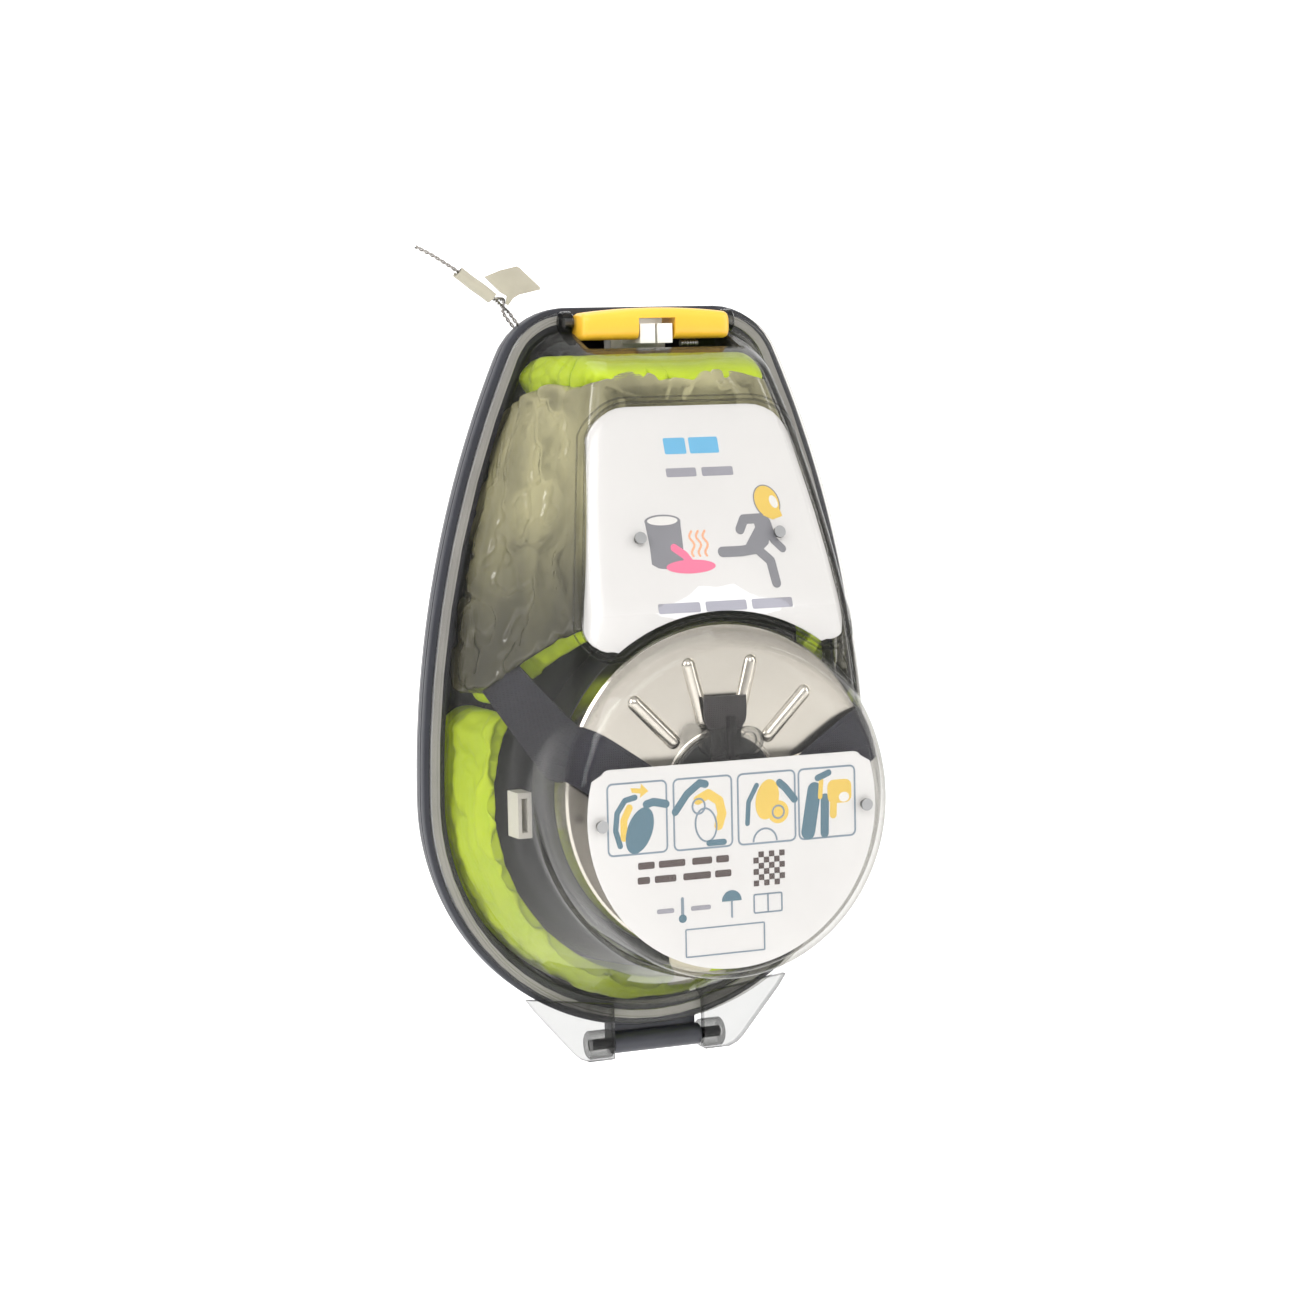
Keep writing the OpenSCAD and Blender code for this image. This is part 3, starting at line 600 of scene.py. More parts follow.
def ears():
    """The cover's two bottom ears, its hinge tubes and the bosses for the handle's pins."""
    parts, x0, x1, hole_r = [], KNUCKLE_X + 0.2, 19.9, AXLE_R + 0.05
    outline = [(x0, -63), (39, -59.5), (36.5, -63), (25.5, -75.6), (23.5, -77.4), (21, -78.4), (x0, -78.4)]
    tube = [(hole_r, x0), (3.6, x0), (3.95, x0 + 0.35), (3.95, x1 - 0.35), (3.6, x1), (hole_r, x1)]
    boss = [(1.25, 22.0), (2.7, 22.0), (3.05, 22.4), (3.05, 24.6), (2.6, 25.0), (1.25, 25.0)]
    for side in (-1, 1):
        parts.append(extrude_outline("ear", [(side * x, z) for x, z in outline],
                                     lambda x, z, w: (x, FLANGE_FRONT + w, z), 3.0, bevel=0.5))
        parts.append(turned("ear_tube", [(r, side * x) for r, x in tube], "x", (0, PART_Y, HINGE_Z), 48))
        parts.append(turned("pivot_boss", [(r, side * x) for r, x in boss], "x", (0, PIVOT_Y, PIVOT_Z), 40))
    return parts


tray, thick_bits = recess_tray(), ears()
for ob in [cover] + tray:
    paint(ob, M["clear"])
for ob in thick_bits:
    paint(ob, M["clear_thick"])
join(cover, tray + thick_bits)
cover.name = "clear_cover"
place(cover, "front_cover", "cover")


def arc2(c, r, a0, a1, n):
    """Points on an arc from angle a0 to a1, in degrees."""
    return [(c[0] + r * math.cos(math.radians(a0 + (a1 - a0) * i / n)),
             c[1] + r * math.sin(math.radians(a0 + (a1 - a0) * i / n))) for i in range(n + 1)]


def label_outline(grow):
    """Outline of the raised lines round the upper label."""
    half = arc2((17.5, 87.5), 12.2 + grow, 90, 20, 12) + arc2((31.3, 43.4), 5.6 + grow, 12, -100, 16) \
        + arc2((0, -2.4), 49.3 - grow, 54, 90, 20)
    return half + [(-x, z) for x, z in reversed(half) if x > 0.05]


def bead(name, pts, radius, material, closed=False):
    """Round cord along a line of points."""
    cu = bpy.data.curves.new(name, "CURVE")
    cu.dimensions = "3D"
    sp = cu.splines.new("POLY")
    sp.points.add(len(pts) - 1)
    for p, (x, y, z) in zip(sp.points, pts):
        p.co = (x * MM, y * MM, z * MM, 1)
    sp.use_cyclic_u = closed
    cu.bevel_depth = radius * MM
    cu.bevel_resolution = 3
    ob = link_new(name, cu)
    me = bpy.data.meshes.new_from_object(ob.evaluated_get(bpy.context.evaluated_depsgraph_get()))
    bpy.data.objects.remove(ob)
    cord = link_new(name, me)
    me.shade_smooth()
    paint(cord, M[material])
    return cord


for k, (grow, r) in enumerate([(1.2, 0.34), (2.5, 0.24)]):
    line = bead(f"label_contour_{k}", [(x, front_depth(x, z) + 0.05, z) for x, z in label_outline(grow)], r,
                "clear_bits", closed=True)
    place(line, "front_cover", "cover", stands_in=False)


# ---- rear shell and handle
def rear_skin():
    """Dish with a ridged rim, from the middle of its outside, over the rim, to the middle of its inside."""
    path = [(46, -8), (30, -8), (18, -8), (12.5, -8), (11, -8.02), (9.6, -8.3), (8.2, -8.75), (7, -9.25),
            (5.6, -9.95), (4.3, -10.9), (3.2, -11.9), (2.2, -13.0), (1.4, -14.2), (0.8, -15.4), (0.3, -16.8),
            (-0.1, -18.2), (-0.45, -19.6), (-0.6, -20.6), (-0.25, -20.75), (-0.25, -21.25), (-0.8, -21.4),
            (-0.85, -22.7), (-0.4, -22.85), (-0.4, -23.4), (-0.95, -23.55), (-1, -25.6), (-0.8, -25.95),
            (-0.5, -26), (2, -26), (4.6, -26), (5, -25.8), (5, -24.2), (4.8, -24), (1.6, -24), (1.2, -23.6),
            (1.3, -20.2), (2.4, -16.3), (5, -14), (9, -11.4), (13, -10), (18, -10), (30, -10), (46, -10)]
    verts = []
    for inset, y in path:
        r = ray(THETA, inset)
        verts += [(HUB[0] + rr * math.cos(a), y, HUB[1] + rr * math.sin(a)) for rr, a in zip(r, THETA)]
    faces = ring_faces(len(path), N_AROUND)
    for ring in (0, len(path) - 1):
        verts.append((HUB[0], path[ring][1], HUB[1]))
        k = ring * N_AROUND
        faces += [(k + i, k + (i + 1) % N_AROUND, len(verts) - 1) for i in range(N_AROUND)]
    ob = new_mesh("rear_shell_skin", verts, faces)
    fix_normals(ob)
    hinge, corner = (0, PART_Y, HINGE_Z), 5.6
    room = [(0.01, KNUCKLE_X), (corner, KNUCKLE_X), (corner, 22.2), (0.01, 22.2)]
    cut(ob, [rounded_box("c", (-23, -28, 100), (23, -23, TOP_Z - 1.3), 0)]
        + [lathe("c", [(r, side * x) for r, x in room], "x", hinge, 48) for side in (-1, 1)])
    sharpen(ob, 32)
    x0 = KNUCKLE_X
    knuckle = [(1.52, -x0), (2.7, -x0), (3, -12.9), (3, 12.9), (2.7, x0), (1.52, x0)]
    pad = [(0.01, 0), (25, 0), (25.7, -0.25), (26, -0.9), (26, -8.4), (24, -8.4), (24, -2), (0.01, -2)]
    foot = [(0.01, 0), (5.3, 0), (5.8, -0.2), (6, -0.7), (6, -8.4), (0.01, -8.4)]
    boss = [(1.3, -9.6), (3.5, -9.6), (3.5, -13.6), (3.2, -14), (1.3, -14)]
    bits = [rounded_box("shelf", (-23.8, -25.9, 112.6), (23.8, -9.5, 114.6), 0.3),
            rounded_box("web", (-12.6, -25.5, -76), (12.6, -20, -67.6), 0.5),
            turned("knuckle", knuckle, "x", hinge), turned("pad", pad, "y", (0, 0, 0), 96)]
    bits += [turned("foot", foot, "y", (x, 0, 98)) for x in (-14, 14)]
    bits += [turned("boss", boss, "y", (x, 0, 80)) for x in (-7, 7)]
    join(ob, bits)
    ob.name = "rear_shell_skin"
    return ob


rear = rear_skin()
paint(rear, M["shell"])
place(rear, "rear_shell", "case")


def handle_bar():
    """Arched bar with rounded ends and a gap for the catch block."""
    half = 21.4
    stations = [-half, -21.3, -21.0, -20.4] + list(np.linspace(-19, 19, 39)) + [20.4, 21.0, 21.3, half]
    n, verts = 44, []
    for x in stations:
        rise = 1.3 * (1 - (x / half) ** 2)
        end = max(0.0, (abs(x) - 20.2) / 1.2)
        shrink = 1.1 * (1 - math.sqrt(max(0.0, 1 - end * end)))
        hy, hz = 4.5 - shrink, (7.2 + rise) / 2 - shrink
        zc = RECESS_Z + 6 + (-3.8 + 3.4 + rise) / 2
        for k in range(n):
            a = 2 * math.pi * k / n
            c, q = math.cos(a), math.sin(a)
            verts.append((x, PART_Y - 7.3 + hy * math.copysign(abs(c) ** 0.5, c),
                          zc + hz * math.copysign(abs(q) ** 0.55, q)))
    last = (len(stations) - 1) * n
    faces = ring_faces(len(stations), n) + [tuple(range(n)), tuple(reversed(range(last, last + n)))]
    ob = new_mesh("handle_bar", verts, faces)
    fix_normals(ob)
    cut(ob, [rounded_box("c", (-5.3, -42, 110), (5.3, -25, 122.9), 0)])
    sharpen(ob, 35)
    return ob


handle = handle_bar()
paint(handle, M["yellow"])
place(handle, "latch_handle", "latch")

# ---- folded hood and visor
def need_inset(y, gap):
    """Smallest inset at which something fits inside the case at a depth."""
    front = FLANGE_W + DRAFT * np.maximum(0, FLANGE_Y - y) + WALL + gap
    back = RIM_INSET + gap + np.maximum(0, y + 15.5) * 1.1
    return np.where(y < FLANGE_Y, np.maximum(front, RIM_INSET + gap * 0.5), back)


def contour(phi, z, gap):
    """Distance to the case's inner wall in direction phi (seen from above), at height z."""
    def fits(r):
        y = LINING_Y + r * np.sin(phi)
        return (inset_at(r * np.cos(phi), z) > need_inset(y, gap)) & (y > front_at(z) + WALL + gap)
    return bisect(fits, np.zeros_like(phi), np.full_like(phi, 90.0), 36)[0]


def fold_noise(seed, u, v, scale):
    """Fractal noise that differs for each seed."""
    return noise.fractal(Vector((u * scale + seed * 7.3, v * scale - seed * 3.1, seed * 1.7)), 1.0, 2.0, 3)


def settle(ob, rows, cols, cap):
    """Lets a sheet swell and crumple as cloth with its edges held, then limits how far it moved to cap mm."""
    big, frames, grow = 40.0, 16, 0.07    # the sheet is simulated at 40 times its size
    me = ob.data
    rest = np.array([v.co for v in me.vertices])
    me.vertices.foreach_set("co", (rest * big).astype(np.float32).ravel())
    me.update()
    held = ob.vertex_groups.new(name="held")
    edge = [i for i in range(rows * cols) if i // cols in (0, rows - 1) or i % cols in (0, cols - 1)]
    held.add(edge, 1.0, "REPLACE")
    m = ob.modifiers.new("cloth", "CLOTH")
    for key, value in dict(quality=5, mass=0.3, tension_stiffness=12, compression_stiffness=12,
                           shear_stiffness=4, bending_stiffness=0.4, shrink_min=-grow, shrink_max=-grow,
                           vertex_group_mass="held", use_pressure=True, uniform_pressure_force=1.0).items():
        setattr(m.settings, key, value)
    m.settings.effector_weights.gravity = 0
    m.collision_settings.use_collision = False
    m.point_cache.frame_start, m.point_cache.frame_end = 1, frames
    for f in range(1, frames + 1):
        bpy.context.scene.frame_set(f)
    shape = ob.evaluated_get(bpy.context.evaluated_depsgraph_get()).to_mesh()
    now = np.array([v.co for v in shape.vertices]) / big
    ob.modifiers.clear()
    ob.vertex_groups.clear()
    bpy.context.scene.frame_set(1)
    move = np.nan_to_num(now - rest)
    size = np.linalg.norm(move, axis=1, keepdims=True)
    move *= np.minimum(1, cap * MM / np.maximum(size, 1e-9))
    me.vertices.foreach_set("co", (rest + move).astype(np.float32).ravel())
    me.update()


def keep_inside(ob, gap=0.35):
    """Puts back inside the case's wall whatever the folds pushed through it."""
    me = ob.data
    co = np.array([v.co for v in me.vertices]) / MM
    e = 0.05
    for _ in range(3):
        have = inset_at(co[:, 0], co[:, 2])
        gx = (inset_at(co[:, 0] + e, co[:, 2]) - have) / e
        gz = (inset_at(co[:, 0], co[:, 2] + e) - have) / e
        push = np.maximum(0, need_inset(co[:, 1], gap) - have)
        co[:, 0] += gx * push
        co[:, 2] += gz * push
        co[:, 1] = np.maximum(co[:, 1], loft_y(co[:, 0], co[:, 2], WALL) + 1.9)
    me.vertices.foreach_set("co", (co * MM).astype(np.float32).ravel())
    me.update()


def bulge(share):
    """Depth of a quarter circle, from 0 to 1."""
    return 1 - math.sqrt(max(0.0, 1 - share * share))


def blanket(name, z_top_fn, z_low_fn, phi_range, gap_fn, fold_fn, thick, material, swell, curl=6.0):
    """Sheet that lines the case's inner wall, with folds given by how far it stands off the wall."""
    nu, nz = 170, 84
    phi = np.radians(np.linspace(*phi_range, nu))
    z_low = np.array([z_low_fn(p) for p in phi])
    z_top = np.array([z_top_fn(p) for p in phi])
    pts = np.zeros((nz, nu, 3))
    for k in range(nz):
        zs = z_low + (z_top - z_low) * k / (nz - 1)
        base = contour(phi, zs, 0.6)
        for i in range(nu):
            p, z = phi[i], zs[i]
            off = gap_fn(math.degrees(p), z) + fold_fn(math.degrees(p), z)
            top = max(0.0, (z - (z_top[i] - curl)) / curl)
            low = max(0.0, 1 - (z - z_low[i]) / curl)
            off += curl * bulge(top) + 0.6 * curl * bulge(low)
            r = max(4.0, base[i] - off)
            pts[k, i] = (r * math.cos(p), LINING_Y + r * math.sin(p), z)
    # keep clear of the mask and the filter behind the sheet
    flat = pts.reshape(-1, 3)
    limit = np.where(flat[:, 1] > -41.5, MASK_R + 1.2, FILTER_R + 2.4)
    zc = np.where(flat[:, 1] > -41.5, MASK_Z, 0.0)
    d = np.maximum(np.hypot(flat[:, 0], flat[:, 2] - zc), 1e-3)
    grow = np.maximum(1, limit / d)
    flat[:, 0] *= grow
    flat[:, 2] = zc + (flat[:, 2] - zc) * grow
    ob = new_mesh(name, flat, ring_faces(nz, nu, wrap=False))
    settle(ob, nz, nu, swell)
    ob.modifiers.new("smooth", "SUBSURF").levels = 1
    thicken(ob, thick)
    keep_inside(ob)
    fix_normals(ob)
    paint(ob, M[material])
    ob.data.shade_smooth()
    return ob


def pleats(angle, z, seed, count, depth, lean=0.0, sharp=0.7):
    """Soft folds with sharp valleys; count is the number of folds round the case."""
    w = fold_noise(seed, angle * 0.05, z * 0.05, 1.0) * 1.6
    s = math.sin(math.radians(angle) * count + z * lean + w * 2.2)
    fine = fold_noise(seed + 5, angle * 0.12, z * 0.09, 1.3)
    return depth * (1 - abs(s) ** sharp) + depth * 0.5 * max(0.0, fine)


def neon_gap(angle, z):
    """Stands further off the wall where the visor film lies in front."""
    behind = max(0.0, min(1.0, (107 - z) / 5))
    return 1.6 + 4.6 * behind


def over_filter(p):
    """Lowest height at which a sheet in direction p clears the filter."""
    x = 46 * abs(math.cos(p))
    return max(22.0, math.sqrt(max(0.0, 49.0 ** 2 - x * x)) - 1.0) if x < 45 else 22.0


def from_front(p):
    """0 at the front of the case, 1 at its sides."""
    return min(1.0, abs(math.degrees(p) - 270) / 84)


hood_top = blanket("hood_upper", lambda p: 112.6, over_filter, (186, 354), neon_gap,
                   lambda a, z: pleats(a, z, 3, 9, 2.4, 0.05), 1.2, "hood", 1.3)
place(hood_top, "hood", "case")


def visor_low(p):
    side = from_front(p)
    return max(over_filter(p) + 3, 41 - 18 * max(0.0, min(1.0, (side - 0.5) / 0.16)))


def visor_top(p):
    return 108 - 7 * from_front(p) ** 2 + 1.2 * math.sin(9 * p)


visor = blanket("visor_folds", visor_top, visor_low, (184, 356), lambda a, z: 0.4,
                lambda a, z: pleats(a, z, 11, 10, 2.2, 0.02, 0.6), 0.4, "visor", 0.8, curl=2)
place(visor, "visor", "case")


def wall_radius(angles, y, gap):
    """Distance from the mask's axis to the case's inner wall along each angle at a depth."""
    need = need_inset(np.full(len(angles), float(y)), gap)
    return bisect(lambda r: inset_at(r * np.cos(angles), MASK_Z + r * np.sin(angles)) > need,
                  np.full(len(angles), 20.0), np.full(len(angles), 160.0), 26)[0]


def lower_band():
    """Fold of the hood packed between the mask and the wall, round the bottom of the case."""
    nu, a0, a1 = 300, 153, 387
    y_front, y_back = -40.6, -15.6
    path = np.radians(np.linspace(a0, a1, nu))
    section = [(y_front, k / 10, "front") for k in range(10)] \
        + [(y_front + 25 * k / 34, 1, "wall") for k in range(34)] \
        + [(y_back, 1 - k / 8, "back") for k in range(8)] \
        + [(y_back - 25 * k / 14, 0, "mask") for k in range(14)]
    inner_r = MASK_R + 1.1
    rows = []
    for y, share, part in section:
        wall = wall_radius(path, y, 0.7)
        row = []
        for a, w_r in zip(path, wall):
            deg = math.degrees(a)
            fade = min(1.0, (deg - a0) / 8, (a1 - deg) / 8)
            s = (y - y_front) / 25
            w = fold_noise(21, deg * 0.045, s * 2.2, 1.0)
            fold = abs(math.sin(math.pi * (3.1 * s + 0.9 * w + deg * 0.012))) ** 0.6
            fine = max(0.0, fold_noise(33, deg * 0.16, s * 4.0, 1.0))
            inward = {"wall": 3.4 * (1 - fold) + 2.2 * fine, "front": 1.6 * fine}.get(part, 0)
            r = max(inner_r, inner_r + (w_r - inward - inner_r) * share)
            r = inner_r + (r - inner_r) * max(0.15, math.sqrt(max(0, fade)))
            yy = y + (1.6 * (1 - fold) + 2.0 * fine if part == "front" else 0)
            row.append((r * math.cos(a), yy, MASK_Z + r * math.sin(a)))
        rows.append(row)
    n = len(section)
    verts = [rows[k][i] for i in range(nu) for k in range(n)]
    faces = ring_faces(nu, n)
    faces.append(tuple(range(n)))
    faces.append(tuple(reversed(range((nu - 1) * n, nu * n))))
    ob = new_mesh("hood_lower", verts, faces)
    fix_normals(ob)
    m = ob.modifiers.new("sm", "SMOOTH")
    m.factor = 0.5
    m.iterations = 2
    apply_mods(ob)
    paint(ob, M["hood"])
    ob.data.shade_smooth()
    return ob


hood_low = lower_band()
place(hood_low, "hood", "case", stands_in=False)

# half mask: a turned rubber cup with a rolled edge
cup = [(24.2, -38.2), (36, -38.4), (41.5, -38.2), (44.8, -37.3), (47.3, -35.4), (48.9, -32.6), (49.4, -30),
       (49.4, -20), (49.3, -15.4), (48.9, -14.2), (48.2, -13.8), (47.5, -14.2), (47.1, -15.2), (47.1, -30),
       (46.6, -32.4), (45.2, -34.4), (43.2, -35.6), (36, -36), (24.2, -36)]
mask = turned("half_mask_cup", cup, "y", (0, 0, MASK_Z), 128, 50)
paint(mask, M["rubber"])
place(mask, "half_mask", "case")

# ---- straps
def smooth_rows(rows, steps):
    """Catmull-Rom rows between the given rows of points."""
    rows = np.array(rows, float)
    n = len(rows)
    out = []
    for i in range(n - 1):
        near = [rows[max(i - 1, 0)], rows[i], rows[i + 1], rows[min(i + 2, n - 1)]]
        out += [catmull_rom(near, k / steps) for k in range(steps)]
    out.append(rows[-1])
    return np.array(out)


def ribbon(name, rows, thick, material):
    """Flat web through rows of three points each."""
    cols = np.array([smooth_rows(row, 6) for row in smooth_rows(rows, 8)])
    ob = new_mesh(name, cols.reshape(-1, 3), ring_faces(cols.shape[0], cols.shape[1], wrap=False))
    fix_normals(ob)
    thicken(ob, thick)
    sharpen(ob, 50)
    paint(ob, M[material])
    return ob


STRAP = [[(21, -76, 8), (24, -76, 0.5), (27, -76, -7)],
         [(33.4, -75.4, 16.4), (36, -75.4, 9.4), (38.4, -75.4, 1.7)],
         [(39.3, -74.1, 19.2), (42.3, -74.1, 12.9), (44.1, -74.1, 5.4)],
         [(39.8, -72.3, 19.4), (42.7, -72.3, 13), (44.5, -72.3, 5.5)],
         [(41, -60, 24), (43.6, -60, 16), (45, -60, 6.5)],
         [(47, -42, 36), (50, -36, 32), (52.5, -30, 29)], [(49.5, -31, 40.5), (52, -25, 36.5), (53.5, -20, 33)]]
halves = []
for side in (-1, 1):
    rows = [[(side * x, y, z) for x, y, z in row] for row in STRAP]
    halves.append(ribbon("harness_half", rows, 0.42, "strap"))
    for drop in (0.07, 0.93):
        # sewn edge: a round cord just inside each edge
        line = [row[0] * (1 - drop) + row[2] * drop for row in smooth_rows(rows, 8)]
        halves.append(bead("harness_edge", line, 0.34, "strap"))
strap = join(halves[0], halves[1:])
strap.name = "harness_webbing"
place(strap, "harness_strap", "case")

def symmetric(rows):
    """Rows of three points from rows of (half width, depth, height)."""
    return [[(-w, y, z), (0, y, z), (w, y, z)] for w, y, z in rows]


TAB = [(8, -55.8, -44.6), (7.6, -54.5, -48), (5, -51.5, -51.5), (3, -45.8, -54.8), (3, -42.4, -56.2)]
tab = ribbon("pull_tab_web", symmetric(TAB), 0.9, "tab")
place(tab, "pull_tab", "case")

PLUG_STRAP = [(6, -75.7, 24.9), (5.9, -75.75, 19), (4.4, -75.7, 15.4), (4.1, -75.7, 8.1)]
plug_strap = ribbon("plug_strap_web", symmetric(PLUG_STRAP), 0.75, "plug_tab")
place(plug_strap, "plug_tab", "cover")

collar_pts = [(33 + 7.8 * math.cos(t), -11.7 + 1.0 * math.sin(t) + 0.12 * math.sin(3 * t))
              for t in [2 * math.pi * k / 40 for k in range(40)]]
collar = lathe("neck_collar", collar_pts, "y", (0, 0, MASK_Z), 96)
m = collar.modifiers.new("w", "DISPLACE")
tex = bpy.data.textures.new("collar_waves", "CLOUDS")
tex.noise_scale = 0.012
m.texture = tex
m.strength = 0.0004
apply_mods(collar)
paint(collar, M["rubber"])
collar.data.shade_smooth()
place(collar, "neck_seal", "case")


# ---- label art: plain signs drawn for this part
def rounded(x0, z0, x1, z1, r, grow=0.0):
    """Rounded rectangle."""
    r = min(r, (x1 - x0) / 2, (z1 - z0) / 2)
    corners = ((x1 - r, z1 - r), (x0 + r, z1 - r), (x0 + r, z0 + r), (x1 - r, z0 + r))
    return [p for k, c in enumerate(corners) for p in arc2(c, r + grow, 90 * k, 90 * k + 90, 5)]


def oval(cx, cz, rx, rz, turn=0.0, n=36):
    c, s = math.cos(math.radians(turn)), math.sin(math.radians(turn))
    out = []
    for k in range(n):
        a = 2 * math.pi * k / n
        u, v = rx * math.cos(a), rz * math.sin(a)
        out.append((cx + u * c - v * s, cz + u * s + v * c))
    return out


def stroke(key, pts, w):
    """Line of round-ended strokes of width w."""
    out = []
    for (x0, z0), (x1, z1) in zip(pts, pts[1:]):
        a = math.degrees(math.atan2(z1 - z0, x1 - x0))
        out.append((key, arc2((x1, z1), w / 2, a - 90, a + 90, 8) + arc2((x0, z0), w / 2, a + 90, a + 270, 8)))
    return out


def bars(key, z0, z1, spans):
    return [(key, rounded(x0, z0, x1, z1, 0.45)) for x0, x1 in spans]


def framed(x0, z0, x1, z1, r, half):
    """Outline of a rounded rectangle, as a line of width 2 * half."""
    return [("line", rounded(x0, z0, x1, z1, r, half), rounded(x0, z0, x1, z1, r, -half))]


def shift(shapes, dx, dz):
    return [(s[0],) + tuple([(x + dx, z + dz) for x, z in ring] for ring in s[1:]) for s in shapes]


def printed(name, shapes, at, node):
    """Thin printed shapes as one object on a label: (ink, outline) or (ink, outline, equally long hole)."""
    keys = sorted({s[0] for s in shapes})
    verts, faces, slots = [], [], []
    for k, (key, *rings) in enumerate(shapes):
        n, base = len(rings[0]), len(verts)
        for w in (0.03 + 0.0014 * k, 0.0):    # each shape stands a little above the one before it
            for ring in rings:
                verts += [at(x, z, w) for x, z in ring]
        mine = []
        if len(rings) == 1:
            mine.append(tuple(base + i for i in range(n)))
            mine.append(tuple(base + 2 * n - 1 - i for i in range(n)))
            loops = [(0, n)]
        else:
            for i in range(n):
                j = (i + 1) % n
                mine.append((base + i, base + j, base + n + j, base + n + i))
                mine.append((base + 2 * n + j, base + 2 * n + i, base + 3 * n + i, base + 3 * n + j))
            loops = [(0, 2 * n), (n, 3 * n)]
        for front, back in loops:
            for i in range(n):
                j = (i + 1) % n
                mine.append((base + front + i, base + back + i, base + back + j, base + front + j))
        faces += mine
        slots += [keys.index(key)] * len(mine)
    ob = new_mesh(name, verts, faces, smooth=False)
    fix_normals(ob, weld=False)
    for key in keys:
        ob.data.materials.append(M["ink_" + key])
    ob.data.polygons.foreach_set("material_index", slots)
    place(ob, node, "cover", stands_in=False)


wave = [[(x + 0.55 * math.sin(z * 1.5), z) for z in np.linspace(61, 67.3, 12)] for x in (-4.9, -3.0, -1.1)]
upper_art = bars("pale", 87.2, 91.4, [(-8.4, -2.2), (-1.2, 7.2)]) \
    + bars("text", 81.3, 83.6, [(-9.0, -0.4), (1.2, 10.2)]) \
    + [("grey", [(-17.3, 70.1), (-17, 64), (-17.2, 59.4), (-15.4, 58.3), (-13, 58.0), (-10.4, 58.6), (-8, 60),
                 (-7.6, 64), (-7.3, 70.0)]),
       ("grey", oval(-12.3, 70.2, 5.1, 1.7)), ("white", oval(-12.3, 70.3, 4.3, 1.15)),
       ("pink", oval(-6.3, 58.4, 7.0, 1.75))] \
    + stroke("pink", [(-6, 59), (-7.6, 61.4), (-10.2, 63.3)], 2.1) \
    + [s for w in wave for s in stroke("orange", w, 0.6)] \
    + stroke("grey", [(15.9, 69.9), (10.9, 69.8), (9.3, 67.2)], 2.5) \
    + [("grey", [(13.4, 71), (17.6, 70.8), (18.7, 68.4), (16.8, 63.2), (13.6, 60.8), (10.6, 60.6), (10.4, 63.4),
                 (13.8, 67.6)])] \
    + stroke("grey", [(17.4, 69), (18.4, 64.2), (20.6, 61.9)], 2.1) \
    + stroke("grey", [(11.6, 62), (8.6, 61.7), (3.3, 61.7)], 2.7) \
    + stroke("grey", [(13.4, 62), (16.6, 58.9), (17.2, 53.2)], 2.6) \
    + [("grey", oval(18.4, 74.1, 3.7, 4.5, 20)), ("yellow", oval(18.4, 74.1, 3.4, 4.2, 20)),
       ("yellow", [(17.6, 72.4), (21.6, 72.6), (22.2, 70.2), (19.2, 69.4), (16.6, 70.6)]),
       ("white", oval(20.3, 74.0, 1.1, 1.7, 20))] \
    + bars("text", 46.9, 49.4, [(-17.4, -5.6), (-4.0, 7.6), (9.2, 20.8)])
printed("upper_label_print", upper_art, lambda x, z, w: (x, front_at(z) + WALL + 0.19 - w, z), "upper_label")

arrow = [(-1.8, 7.7), (1.0, 7.4), (1.2, 8.6), (3.2, 6.6), (0.8, 5.0), (1.0, 6.1), (-1.4, 6.5)]
steps = [
    stroke("blue", [(-4.9, -7), (-6.1, -3), (-5.6, 1.5), (-3.4, 4.6), (-0.6, 5.2)], 1.5)
    + stroke("yellow", [(-3.8, -5), (-3.8, -0.5), (-2.2, 2.6)], 1.9)
    + [("blue", oval(0.6, -3.4, 3.5, 6.2, -22)), ("yellow", arrow)]
    + stroke("blue", [(8, 2.9), (4.6, 3.7), (2.6, 3.2)], 2.1),
    stroke("blue", [(-7.8, 0.6), (-4.4, 5), (-0.8, 7.6), (0.8, 7.2)], 2.0)
    + stroke("yellow", [(-1.4, 3.2), (1.6, 4.6), (4.6, 2.6), (5.4, -0.8), (4.4, -3.8)], 2.5)
    + [("line", oval(0.8, -3.4, 3.2, 4.6, 8), oval(0.8, -3.4, 2.7, 4.1, 8)),
       ("line", oval(-1.2, 1.6, 2.0, 2.2), oval(-1.2, 1.6, 1.5, 1.7))]
    + stroke("blue", [(1.6, -8.2), (5.8, -8.2)], 1.6),
    stroke("blue", [(-5.6, -4), (-5.2, 1.6), (-2.8, 5.8)], 1.3)
    + [("yellow", oval(0.2, 1.9, 3.3, 5.3, -12)), ("yellow", oval(3.3, -1.6, 3.0, 3.0)),
       ("line", oval(3.3, -1.6, 1.9, 1.9), oval(3.3, -1.6, 1.4, 1.4)),
       ("line", arc2((-0.6, -9), 3.6, 0, 180, 16) + arc2((-0.6, -9), 3.1, 180, 0, 16))]
    + stroke("blue", [(8, 1.4), (5.4, 4.6), (3.8, 6.0)], 2.0),
    stroke("blue", [(-5.6, -7.6), (-4.6, -2), (-3.6, 3.4)], 4.0)
    + stroke("blue", [(-0.8, -8.2), (-0.6, 1)], 2.4)
    + [("yellow", rounded(0.2, -0.6, 7.2, 5.6, 1.8)), ("white", oval(5.0, 0.9, 1.5, 1.3))]
    + stroke("yellow", [(-1.6, 5.6), (-2.0, 1.4)], 1.3) + stroke("yellow", [(1.9, -0.6), (1.8, -3.6)], 2.0)
    + stroke("blue", [(-2.6, 6.4), (0.6, 7.6)], 1.7),
]
lower_art = []
for cx, signs in zip((-27.3, -8.9, 9.3, 26.8), steps):
    lower_art += framed(cx - 8.2, -13.6, cx + 8.2, 4.8, 1.4, 0.25) + shift(signs, cx, -4.2)
